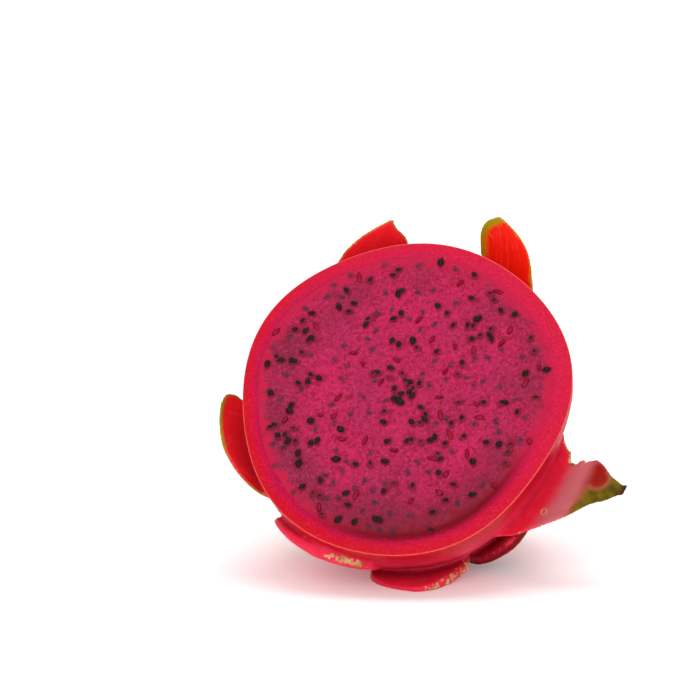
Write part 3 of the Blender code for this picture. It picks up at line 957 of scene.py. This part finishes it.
def instance_tree():
    """Geometry Nodes: a seed at each point, turned and sized by the point's own 'turn' and 'size'."""
    tree = bpy.data.node_groups.new("seeds on their places", "GeometryNodeTree")
    tree.interface.new_socket("Geometry", in_out="INPUT", socket_type="NodeSocketGeometry")
    tree.interface.new_socket("Shape", in_out="INPUT", socket_type="NodeSocketObject")
    tree.interface.new_socket("Finish", in_out="INPUT", socket_type="NodeSocketMaterial")
    tree.interface.new_socket("Geometry", in_out="OUTPUT", socket_type="NodeSocketGeometry")
    inside = add_node(tree, "NodeGroupInput")
    shape = add_node(tree, "GeometryNodeObjectInfo", {"Object": inside.outputs["Shape"]})
    turn = add_node(tree, "GeometryNodeInputNamedAttribute", {"Name": "turn"}, data_type="FLOAT_VECTOR")
    size = add_node(tree, "GeometryNodeInputNamedAttribute", {"Name": "size"}, data_type="FLOAT_VECTOR")
    spin = add_node(tree, "FunctionNodeEulerToRotation", {"Euler": turn.outputs["Attribute"]})
    seeds = add_node(
        tree, "GeometryNodeInstanceOnPoints",
        {"Points": inside.outputs["Geometry"], "Instance": shape.outputs["Geometry"],
         "Rotation": spin.outputs["Rotation"], "Scale": size.outputs["Attribute"]},
    )
    real = add_node(tree, "GeometryNodeRealizeInstances", {"Geometry": seeds.outputs["Instances"]})
    done = add_node(
        tree, "GeometryNodeSetMaterial",
        {"Geometry": real.outputs["Geometry"], "Material": inside.outputs["Finish"]},
    )
    add_node(tree, "NodeGroupOutput", {"Geometry": done.outputs["Geometry"]})
    return tree


def run_tree(piece, tree, **inputs):
    """Runs a tree on a piece with these inputs, and keeps what it makes as the piece's plain mesh."""
    modifier = piece.modifiers.new(tree.name, "NODES")
    modifier.node_group = tree
    for socket in tree.interface.items_tree:
        name = socket.name.replace(" ", "_")
        if socket.in_out == "INPUT" and name in inputs:
            modifier[socket.identifier] = inputs[name]
    return baked(piece)


def scattered(name, crowd, spread, draw):
    """Places over the cut face of the pulp, thick where crowd(x, y) is high."""
    points, _, _, faces = cut_sheet(SHEET_GRID, SHEET_INSET)
    sheet = new_object(name, points, faces)
    paint(sheet.data, "crowd", np.clip(crowd(points[:, 0], points[:, 1]), 0, 1))
    spacing, most = spread
    run_tree(sheet, scatter_tree(), Spacing=spacing, Most_per_Area=most, Draw=draw)
    places = coords(sheet.data)
    bpy.data.objects.remove(sheet)
    return places


def seed_crowd(x, y):
    """Seeds stand thick at the core and along its lower side, and thinner outwards."""
    crowd = SEEDS_ALL_OVER
    for (right, up), (wide, high), share in SEED_KNOTS:
        off = ((x / MM - right) / wide) ** 2 + ((y / MM - up) / high) ** 2
        crowd = crowd + share * np.exp(-off / 2)
    return crowd


def even_crowd(x, y):
    """The same all over."""
    return np.full(len(x), POCKETS_ALL_OVER)


def ovals(points, places, turns, long, wide):
    """How far each point is from the middle of the nearest oval, as a share of the oval's own size."""
    least = np.full(len(points), FAR_OFF)
    for (x, y, _), turn in zip(places, turns):
        near = np.nonzero((np.abs(points[:, 0] - x) < 2 * long) & (np.abs(points[:, 1] - y) < 2 * long))[0]
        dx, dy = points[near, 0] - x, points[near, 1] - y
        a = dx * math.cos(turn) + dy * math.sin(turn)
        b = dy * math.cos(turn) - dx * math.sin(turn)
        least[near] = np.minimum(least[near], np.hypot(a / long, b / wide) * 2)
    return least


def set_in_pulp(pulp, seeds, sunken, pockets):
    """Presses the seeds' seats and the empty pockets into the pulp, and marks what shows through it and the
    juice and painted shadow beside each seed.
    """
    mesh = pulp.data
    points = coords(mesh)
    on_top = points[:, 2] > TOUCHED_ABOVE
    seat = ovals(points, *seeds, SEED_LONG, SEED_WIDE)
    below = ovals(points, *sunken, SEED_LONG, SEED_WIDE)
    pocket = ovals(points, *pockets, POCKET_LONG, POCKET_WIDE)
    seats = smoothstep(*SEAT_INNER, seat) * smoothstep(*SEAT_OUTER, seat)
    relief = SUNKEN_RISE * smoothstep(*SUNKEN_FADE, below) - POCKET_DEEP * smoothstep(*POCKET_FADE, pocket)
    points[:, 2] += on_top * MM * (relief - SEAT_DEEP * seats)
    set_coords(mesh, points)
    # Juice and a painted shadow beside each seed, a little below and right of it.
    juice_and_shade = ovals(points, seeds[0] + np.array(JUICE_AND_SHADOW_OFF), seeds[1], SEED_LONG, SEED_WIDE)
    paint(mesh, "seat", on_top * smoothstep(*JUICE_AND_SHADOW_FADE, juice_and_shade))
    paint(mesh, "sunken", on_top * smoothstep(*SHOWN_FADE, below))


def spread_out(name, shape, places, turns, sizes, finish):
    """A copy of the shape at each place, with its own turn and size, all as one plain mesh."""
    holder = new_object(name, places, [])
    for label, values in (("turn", turns), ("size", sizes)):
        layer = holder.data.attributes.new(label, "FLOAT_VECTOR", "POINT")
        layer.data.foreach_set("vector", np.ascontiguousarray(values, np.float32).ravel())
    run_tree(holder, instance_tree(), Shape=shape, Finish=finish)
    bpy.data.objects.remove(shape)
    return holder


def drawn_turns(draw, count, tilt):
    """A random turn for each of so many things, which lie nearly flat."""
    return np.stack([
        draw.normal(0, tilt, count), draw.normal(0, tilt, count), draw.uniform(0, math.tau, count)
    ], -1)


def apart(places, others, gap):
    """The places that are further than this from every one of the others."""
    return np.array([p for p in places if np.linalg.norm(others - p, axis=-1).min() > gap])


# ---------------------------------------------------------------- materials

def linear(hex_colour):
    """A linear colour with alpha from an sRGB hex value."""
    parts = [int(hex_colour[i : i + 2], 16) / 255 for i in (1, 3, 5)]
    return (*[c / 12.92 if c <= 0.04045 else ((c + 0.055) / 1.055) ** 2.4 for c in parts], 1.0)


def add_node(tree, kind, inputs=None, **settings):
    """A node with its settings, and its inputs by name or number: another node's output, or a value."""
    node = tree.nodes.new(kind)
    for key, value in settings.items():
        setattr(node, key, value)
    for socket, source in (inputs or {}).items():
        if isinstance(source, bpy.types.NodeSocket):
            tree.links.new(source, node.inputs[socket])
        else:
            node.inputs[socket].default_value = source
    return node


def new_material(name):
    """A material, its tree and its shader."""
    material = bpy.data.materials.new(name)
    material.use_nodes = True
    tree = material.node_tree
    return material, tree, tree.nodes["Principled BSDF"]


def finish(tree, shader, colour, height=None, distance=None, **constants):
    """Links a material's colour and relief to its shader, and sets what is the same all over."""
    tree.links.new(colour, shader.inputs["Base Color"])
    if height is not None:
        bump = add_node(tree, "ShaderNodeBump", {"Height": height, "Strength": 1.0, "Distance": distance})
        tree.links.new(bump.outputs["Normal"], shader.inputs["Normal"])
    for name, value in constants.items():
        shader.inputs[name.replace("_", " ")].default_value = value


# A pattern of scale PER_MM / 2 repeats every 2 mm.
PER_MM = 1 / MM
# The sockets of a node that mixes colours: its two colours and its result.
A, B, RESULT = 6, 7, 2


def mixed(tree, factor, first, second):
    """The colour between the first and the second, by this factor."""
    return add_node(
        tree, "ShaderNodeMix", {"Factor": factor, A: first, B: second}, data_type="RGBA"
    ).outputs[RESULT]


def worked_out(tree, operation, *values):
    """What this operation makes of the values."""
    return add_node(tree, "ShaderNodeMath", dict(enumerate(values)), operation=operation).outputs[0]


def ramp(tree, value, start, end, low=0.0, high=1.0):
    """The value brought from the range start to end into the range low to high."""
    ends = {"Value": value, "From Min": start, "From Max": end, "To Min": low, "To Max": high}
    return add_node(tree, "ShaderNodeMapRange", ends).outputs[0]


# What the peel's material reads of each place on the skin.
PEEL_FACTS = (
    "green", "inner", "warm", "along", "across_scale", "dry", "bleached", "near_cut", "deep_shade", "dusky",
    "withered",
)


def scar_place():
    """Where the round scar's middle is, in the row."""
    _, inner, s, t = scale_sides(SCAR_SCALE)
    nearest = np.argmin(np.hypot(s - SCAR_AT[0], t - SCAR_AT[1]))
    return tuple(AXIS @ Vector(inner.reshape(-1, 3)[nearest]))


def peel_material():
    """Waxy fruit skin: thin satin wax over pink to red flesh, which reads as a soft broad sheen."""
    material, tree, shader = new_material("waxy pitaya peel")
    spot = add_node(tree, "ShaderNodeTexCoord").outputs["Object"]
    fact = {
        name: add_node(tree, "ShaderNodeAttribute", attribute_name=name).outputs["Fac"]
        for name in PEEL_FACTS
    }
    broad = add_node(tree, "ShaderNodeTexNoise", {"Vector": spot, "Scale": PER_MM / 16, "Detail": 4.0})
    mottle = add_node(tree, "ShaderNodeTexNoise", {"Vector": spot, "Scale": PER_MM / 2.2, "Detail": 5.0})
    body = mixed(tree, broad.outputs["Fac"], linear("#CC1434"), linear("#E23A5C"))
    reddened = mixed(tree, fact["near_cut"], body, linear("#B0041A"))
    insides = mixed(tree, fact["inner"], reddened, linear("#D82444"))
    mottled = add_node(
        tree, "ShaderNodeMix", {"Factor": 0.4, A: insides, B: mottle.outputs["Fac"]},
        data_type="RGBA", blend_type="SOFT_LIGHT",
    )
    warm = mixed(tree, fact["warm"], mottled.outputs[RESULT], linear("#DC1A06"))
    lengthwise = add_node(
        tree, "ShaderNodeCombineXYZ", {"X": fact["across_scale"], "Y": fact["along"], "Z": fact["inner"]}
    )
    stretched = add_node(
        tree, "ShaderNodeMapping", {"Vector": lengthwise.outputs["Vector"], "Scale": (7.0, 1.4, 1.0)}
    )
    streaks = add_node(
        tree, "ShaderNodeTexNoise", {"Vector": stretched.outputs["Vector"], "Scale": 1.6, "Detail": 4.0}
    )
    streak_mask = add_node(
        tree, "ShaderNodeMapRange",
        {"Value": streaks.outputs["Fac"], "From Min": 0.5, "From Max": 0.75, "To Max": 0.5},
        interpolation_type="SMOOTHSTEP",
    )
    on_scale = worked_out(tree, "MULTIPLY", streak_mask.outputs[0], fact["along"])
    streaked = mixed(tree, on_scale, warm, linear("#EC4858"))
    # Painted shade: deep red where inner sides face the ground, in root creases and in the fold.
    shade_share = worked_out(tree, "MULTIPLY", fact["deep_shade"], 0.95)
    deep_shade = mixed(tree, shade_share, streaked, linear("#6E0006"))
    bleach = mixed(tree, fact["bleached"], deep_shade, linear("#B86068"))
    blotched = mixed(tree, fact["dusky"], bleach, linear("#880A08"))
    yellow_part = add_node(
        tree, "ShaderNodeMapRange", {"Value": fact["green"], "From Max": 0.5},
        interpolation_type="SMOOTHSTEP",
    )
    green_part = add_node(
        tree, "ShaderNodeMapRange", {"Value": fact["green"], "From Min": 0.3, "From Max": 0.9},
        interpolation_type="SMOOTHSTEP",
    )
    tan = mixed(tree, fact["inner"], linear("#BE8A4C"), linear("#8B5038"))
    half_ripe = mixed(tree, fact["warm"], tan, linear("#C85A06"))
    patchy = ramp(tree, mottle.outputs["Fac"], 0.35, 0.62)
    moss = mixed(tree, patchy, linear("#3A2802"), linear("#625404"))
    olive = mixed(tree, fact["warm"], moss, linear("#948004"))
    yellowed = mixed(tree, yellow_part.outputs[0], blotched, half_ripe)
    greens = mixed(tree, fact["inner"], linear("#7C9230"), olive)
    greened = mixed(tree, green_part.outputs[0], yellowed, greens)
    browned = mixed(tree, fact["withered"], greened, linear("#3A1A0C"))
    papery = mixed(tree, patchy, linear("#94803C"), linear("#D2B080"))
    ragged = add_node(
        tree, "ShaderNodeTexNoise", {"Vector": spot, "Scale": PER_MM / 1.6, "Detail": 6.0, "Roughness": 0.7}
    )
    fray = ramp(tree, ragged.outputs["Fac"], 0.3, 0.7, -1.1, 0.5)
    dry = worked_out(tree, "ADD", fact["dry"], fray)
    dried = ramp(tree, dry, -0.05, 0.1)
    away = add_node(tree, "ShaderNodeVectorMath", {0: spot, 1: scar_place()}, operation="DISTANCE")
    off_ring = worked_out(tree, "SUBTRACT", away.outputs["Value"], SCAR_RADIUS)
    from_ring = worked_out(tree, "ABSOLUTE", off_ring)
    scar = ramp(tree, from_ring, 0.30 * MM, 0.12 * MM)
    scarred = worked_out(tree, "MAXIMUM", dried, scar)
    colour = mixed(tree, scarred, browned, papery)
    pores = add_node(
        tree, "ShaderNodeTexVoronoi", {"Vector": spot, "Scale": PER_MM / 1.5}, feature="DISTANCE_TO_EDGE"
    )
    fine = add_node(tree, "ShaderNodeTexNoise", {"Vector": spot, "Scale": PER_MM / 0.8, "Detail": 4.0})
    height = worked_out(tree, "ADD", pores.outputs["Distance"], fine.outputs["Fac"])
    finish(
        tree, shader, colour, height, 0.06 * MM, Roughness=0.42,
        Specular_IOR_Level=0.08, Subsurface_Weight=0.35, Subsurface_Radius=(1.0, 0.2, 0.12),
        Subsurface_Scale=2.5 * MM,
    )
    return material


def cut_peel_material():
    """Cut peel flesh: juicy and smooth, scarlet at the skin and hot magenta against the pulp."""
    material, tree, shader = new_material("cut pitaya peel")
    spot = add_node(tree, "ShaderNodeTexCoord").outputs["Object"]
    across = add_node(tree, "ShaderNodeAttribute", attribute_name="across").outputs["Fac"]
    wander = add_node(tree, "ShaderNodeTexNoise", {"Vector": spot, "Scale": PER_MM / 5, "Detail": 5.0})
    shift = add_node(
        tree, "ShaderNodeMapRange", {"Value": wander.outputs["Fac"], "To Min": -0.35, "To Max": 0.35}
    )
    where = worked_out(tree, "ADD", across, shift.outputs[0])
    bands = add_node(tree, "ShaderNodeValToRGB", {"Fac": where})
    stops = ((0.0, "#BC0A1C"), (0.25, "#B4081C"), (0.55, "#B60626"), (0.80, "#B00438"), (1.0, "#A0083A"))
    for share, _ in stops[1:-1]:
        bands.color_ramp.elements.new(share)
    for element, (share, hex_colour) in zip(bands.color_ramp.elements, stops):
        element.position = share
        element.color = linear(hex_colour)
    blush = add_node(tree, "ShaderNodeAttribute", attribute_name="blush").outputs["Fac"]
    rosy = worked_out(tree, "MULTIPLY", blush, 0.65)
    pinker = mixed(tree, rosy, bands.outputs["Color"], linear("#BE1E42"))
    # Juice and painted shade, darker along the bottom of the cut.
    juice_and_shade = add_node(tree, "ShaderNodeAttribute", attribute_name="juice_and_shade").outputs["Fac"]
    dark_juice_and_shade = mixed(tree, juice_and_shade, pinker, linear("#7A0218"))
    edge = add_node(
        tree, "ShaderNodeMapRange", {"Value": across, "From Min": 0.07, "From Max": 0.02, "To Max": 0.85}
    )
    pale = mixed(tree, edge.outputs[0], dark_juice_and_shade, linear("#D46458"))
    specks = add_node(tree, "ShaderNodeTexVoronoi", {"Vector": spot, "Scale": PER_MM / 1.3})
    dots = worked_out(tree, "LESS_THAN", specks.outputs["Distance"], 0.10)
    some = worked_out(tree, "MULTIPLY", dots, 0.45)
    colour = mixed(tree, some, pale, linear("#F44858"))
    fine = add_node(
        tree, "ShaderNodeTexNoise", {"Vector": spot, "Scale": PER_MM / 0.6, "Detail": 6.0, "Roughness": 0.7}
    )
    grain = add_node(
        tree, "ShaderNodeMapRange",
        {"Value": fine.outputs["Fac"], "From Min": 0.50, "From Max": 0.34, "To Max": 0.5},
    )
    grained = mixed(tree, grain.outputs[0], colour, linear("#90021C"))
    glint = add_node(
        tree, "ShaderNodeMapRange",
        {"Value": fine.outputs["Fac"], "From Min": 0.54, "From Max": 0.72, "To Max": 0.32},
    )
    glinting = mixed(tree, glint.outputs[0], grained, linear("#DC3C58"))
    finish(
        tree, shader, glinting, fine.outputs["Fac"], 0.10 * MM, Roughness=0.40,
        Specular_IOR_Level=0.05, Subsurface_Weight=0.12, Subsurface_Radius=(1.0, 0.2, 0.3),
        Subsurface_Scale=1.2 * MM,
    )
    return material


def pulp_material():
    """Juicy pulp: packed cells and fibres, so a fine grain of darker and paler flecks under a wet film."""
    material, tree, shader = new_material("red pitaya pulp")
    spot = add_node(tree, "ShaderNodeTexCoord").outputs["Object"]
    out = add_node(tree, "ShaderNodeAttribute", attribute_name="out").outputs["Fac"]
    broad = add_node(tree, "ShaderNodeTexNoise", {"Vector": spot, "Scale": PER_MM / 14, "Detail": 3.0})
    clouds = ramp(tree, broad.outputs["Fac"], 0.38, 0.62)
    base = mixed(tree, clouds, linear("#80163A"), linear("#AC0C42"))
    bright_part = add_node(
        tree, "ShaderNodeMapRange", {"Value": out, "From Min": 0.85, "From Max": 0.6, "To Max": 0.55},
        interpolation_type="SMOOTHSTEP",
    )
    brightened = mixed(tree, bright_part.outputs[0], base, linear("#B61250"))
    shaded = add_node(tree, "ShaderNodeAttribute", attribute_name="shaded").outputs["Fac"]
    shade = worked_out(tree, "MULTIPLY", shaded, 0.75)
    shaded_base = mixed(tree, shade, brightened, linear("#6A1028"))
    flecks = add_node(
        tree, "ShaderNodeTexNoise", {"Vector": spot, "Scale": PER_MM / 0.8, "Detail": 6.0, "Roughness": 0.7}
    )
    dark = ramp(tree, flecks.outputs["Fac"], 0.49, 0.34)
    darkened = mixed(tree, dark, shaded_base, linear("#6A0020"))
    light = add_node(
        tree, "ShaderNodeMapRange",
        {"Value": flecks.outputs["Fac"], "From Min": 0.53, "From Max": 0.72, "To Max": 0.55},
    )
    pale = mixed(tree, shaded, linear("#CC3E74"), linear("#8C2E50"))
    lightened = mixed(tree, light.outputs[0], darkened, pale)
    fibres = add_node(
        tree, "ShaderNodeTexNoise", {"Vector": spot, "Scale": PER_MM / 2.4, "Detail": 5.0, "Distortion": 1.5}
    )
    strokes = add_node(
        tree, "ShaderNodeMapRange",
        {"Value": fibres.outputs["Fac"], "From Min": 0.44, "From Max": 0.35, "To Max": 0.85},
    )
    stroked = mixed(tree, strokes.outputs[0], lightened, linear("#84042A"))
    bloom = add_node(
        tree, "ShaderNodeMapRange",
        {"Value": fibres.outputs["Fac"], "From Min": 0.54, "From Max": 0.68, "To Max": 0.55},
    )
    bloomed = mixed(tree, bloom.outputs[0], stroked, brightened)
    wander = add_node(
        tree, "ShaderNodeTexNoise", {"Vector": spot, "Scale": PER_MM / 2, "Detail": 6.0, "Roughness": 0.65}
    )
    shift = add_node(
        tree, "ShaderNodeMapRange", {"Value": wander.outputs["Fac"], "To Min": -0.14, "To Max": 0.14}
    )
    where = worked_out(tree, "ADD", out, shift.outputs[0])
    margin = mixed(tree, shaded, linear("#B20838"), linear("#760218"))
    near_peel = add_node(
        tree, "ShaderNodeMapRange", {"Value": where, "From Min": 0.90, "From Max": 0.95},
        interpolation_type="SMOOTHSTEP",
    )
    colour = mixed(tree, near_peel.outputs[0], bloomed, margin)
    sunken = add_node(tree, "ShaderNodeAttribute", attribute_name="sunken").outputs["Fac"]
    veil = ramp(tree, flecks.outputs["Fac"], 0.40, 0.58, 1.0, 0.5)
    veiled = worked_out(tree, "MULTIPLY", sunken, veil)
    shown = mixed(tree, veiled, colour, linear("#281828"))
    # Juice and painted shadow on the lower side of each seed.
    seat = add_node(tree, "ShaderNodeAttribute", attribute_name="seat").outputs["Fac"]
    wet_and_shadow = worked_out(tree, "MULTIPLY", seat, 0.7)
    final = mixed(tree, wet_and_shadow, shown, linear("#66021A"))
    finish(
        tree, shader, final, flecks.outputs["Fac"], 0.45 * MM, Roughness=0.45,
        Specular_IOR_Level=0.15, Subsurface_Weight=0.06, Subsurface_Radius=(1.0, 0.2, 0.4),
        Subsurface_Scale=0.8 * MM,
    )
    return material


def pocket_material():
    """An empty seed pocket: a film of juice over deep red pulp, darkest along its lip."""
    material, tree, shader = new_material("wet seed pocket")
    lip = add_node(tree, "ShaderNodeAttribute", attribute_name="lip").outputs["Fac"]
    colour = mixed(tree, lip, linear("#920828"), linear("#54000E"))
    finish(tree, shader, colour, None, Roughness=0.35, Specular_IOR_Level=0.1)
    return material


def stalk_material():
    """Dry stalk: corky skin over pale pith, which reads as matt brown ribs and a straw-coloured break."""
    material, tree, shader = new_material("dry pitaya stalk")
    spot = add_node(tree, "ShaderNodeTexCoord").outputs["Object"]
    broken = add_node(tree, "ShaderNodeAttribute", attribute_name="broken").outputs["Fac"]
    patches = add_node(tree, "ShaderNodeTexNoise", {"Vector": spot, "Scale": PER_MM / 3, "Detail": 5.0})
    fibres = add_node(tree, "ShaderNodeTexNoise", {"Vector": spot, "Scale": PER_MM / 0.7, "Detail": 5.0})
    skin = mixed(tree, patches.outputs["Fac"], linear("#6A6A24"), linear("#A08A58"))
    pith = mixed(tree, fibres.outputs["Fac"], linear("#7E6238"), linear("#D8C48E"))
    colour = mixed(tree, broken, skin, pith)
    finish(tree, shader, colour, fibres.outputs["Fac"], 0.3 * MM, Roughness=0.8)
    return material


def seed_material():
    """Wet seed coat: smooth and near black, so its shape shows in small soft highlights."""
    material, tree, shader = new_material("wet pitaya seed")
    spot = add_node(tree, "ShaderNodeTexCoord").outputs["Object"]
    mottle = add_node(tree, "ShaderNodeTexNoise", {"Vector": spot, "Scale": PER_MM / 1.5, "Detail": 3.0})
    colour = mixed(tree, mottle.outputs["Fac"], linear("#0C0406"), linear("#281A1C"))
    finish(
        tree, shader, colour, mottle.outputs["Fac"], 0.05 * MM, Roughness=0.26,
        Specular_IOR_Level=0.09,
    )
    return material


# ---------------------------------------------------------------- the set and the camera

VIEW_RISE = math.radians(12)
# How far the camera stands from the middle of its view, and the lens and the sensor's width in mm.
CAMERA_AWAY, LENS, SENSOR = 0.9, 173.739, 36.0
# How far right of and below the middle of the view the cut's centre lies.
CUT_RIGHT, CUT_DOWN = 15.946 * MM, 13.784 * MM


def make_camera():
    """A long lens, low over the table, that looks straight along it."""
    data = bpy.data.cameras.new("camera")
    data.sensor_width = SENSOR
    data.lens = LENS
    data.dof.use_dof = False
    data.clip_start, data.clip_end = 0.05, 50
    camera = bpy.data.objects.new("camera", data)
    bpy.context.scene.collection.objects.link(camera)
    look = Vector((0, math.cos(VIEW_RISE), -math.sin(VIEW_RISE)))
    up = Vector((0, math.sin(VIEW_RISE), math.cos(VIEW_RISE)))
    target = AXIS.translation + up * CUT_DOWN - Vector((1, 0, 0)) * CUT_RIGHT
    camera.location = target - look * CAMERA_AWAY
    camera.rotation_euler = look.to_track_quat("-Z", "Y").to_euler()
    bpy.context.scene.camera = camera


# Each soft light: the way it shines, how strong it is, and how many degrees across it looks.
LIGHTS = (("skylight", (-0.02, -0.06, -1.0), 1.1, 38), ("front panel", (0.10, 0.93, -0.30), 1.2, 60))
# How bright the room is, near the horizon and overhead, and the rises between which that changes.
ROOM, ROOM_RISE = (1.0, 0.88), (0.1, 0.6)


def make_lights():
    """An even white room with two broad soft lights: one from above, and one from the front."""
    world = bpy.data.worlds.new("white room")
    world.use_nodes = True
    tree = world.node_tree
    direction = add_node(tree, "ShaderNodeTexCoord").outputs["Generated"]
    parts = add_node(tree, "ShaderNodeSeparateXYZ", {"Vector": direction})
    rise = add_node(
        tree, "ShaderNodeMapRange",
        {"Value": parts.outputs["Z"], "From Min": ROOM_RISE[0], "From Max": ROOM_RISE[1],
         "To Min": ROOM[0], "To Max": ROOM[1]},
    )
    tree.nodes["Background"].inputs["Color"].default_value = (1, 1, 1, 1)
    tree.links.new(rise.outputs[0], tree.nodes["Background"].inputs["Strength"])
    bpy.context.scene.world = world
    for name, heading, strength, spread in LIGHTS:
        data = bpy.data.lights.new(name, "SUN")
        data.energy = strength
        data.angle = math.radians(spread)
        light = bpy.data.objects.new(name, data)
        light.rotation_euler = Vector(heading).to_track_quat("-Z", "Y").to_euler()
        bpy.context.scene.collection.objects.link(light)
    bpy.context.scene.view_settings.view_transform = "Standard"


# The table's half width, how far it lies under the fruit so that they don't meet, and its faint glow, which
# keeps shadows as pale as in a bright room.
TABLE_HALF, TABLE_DROP, TABLE_GLOW = 6, 0.0001, 0.1


def make_floor():
    """A white table."""
    corners = ((-1, -1), (1, -1), (1, 1), (-1, 1))
    points = [(x * TABLE_HALF, y * TABLE_HALF, -TABLE_DROP) for x, y in corners]
    floor = new_object("floor", points, [(0, 1, 2, 3)])
    material, _, shader = new_material("white table")
    shader.inputs["Base Color"].default_value = linear("#F6F4F4")
    shader.inputs["Roughness"].default_value = 0.8
    shader.inputs["Emission Color"].default_value = (1, 1, 1, 1)
    shader.inputs["Emission Strength"].default_value = TABLE_GLOW
    floor.data.materials.append(material)


# ---------------------------------------------------------------- the pieces, on the row

make_camera()
make_lights()
make_floor()

peel = make_peel()
peel.data.materials.append(peel_material())
peel.data.materials.append(cut_peel_material())
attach(peel, "root")
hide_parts("peel", *SCALES)

draw = np.random.default_rng(SEED_DRAW)
seed_places = scattered("seed_places", seed_crowd, SEED_SPREAD, SEED_DRAW)
pocket_places = scattered("pocket_places", even_crowd, POCKET_SPREAD, SEED_DRAW + 1)
pocket_places = apart(pocket_places, seed_places, POCKET_GAP)
sunken_places = scattered("sunken_places", even_crowd, SUNKEN_SPREAD, SEED_DRAW + 2)
sunken_places = apart(sunken_places, np.concatenate([seed_places, pocket_places]), SUNKEN_GAP)
seed_turns = drawn_turns(draw, len(seed_places), SEED_TILT)
pocket_turns = drawn_turns(draw, len(pocket_places), POCKET_TILT)
sunken_turns = drawn_turns(draw, len(sunken_places), SUNKEN_TILT)

pulp = make_pulp()
set_in_pulp(
    pulp, (seed_places, seed_turns[:, 2]), (sunken_places, sunken_turns[:, 2]),
    (pocket_places, pocket_turns[:, 2]),
)
into_row(pulp)
pulp.data.materials.append(pulp_material())
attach(pulp, "root")
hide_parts("flesh")

seed_sizes = draw.uniform(*SEED_SIZES, (len(seed_places), 1))
seed_sizes = seed_sizes * draw.uniform(*SEED_STRAY, (len(seed_places), 3))
seed_places[:, 2] = draw.uniform(*SEED_HEIGHTS, len(seed_places))
seeds = into_row(spread_out("seeds", seed_mesh(), seed_places, seed_turns, seed_sizes, seed_material()))
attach(seeds, "root")

pocket_sizes = draw.uniform(*POCKET_SIZES, (len(pocket_places), 3))
pocket_places[:, 2] += POCKET_HEIGHT
pockets = into_row(spread_out(
    "seed_pockets", pocket_mesh(), pocket_places, pocket_turns, pocket_sizes, pocket_material()
))
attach(pockets, "root")

stalk = into_row(make_stalk())
stalk.data.materials.append(stalk_material())
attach(stalk, "root")
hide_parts("stem_stub")
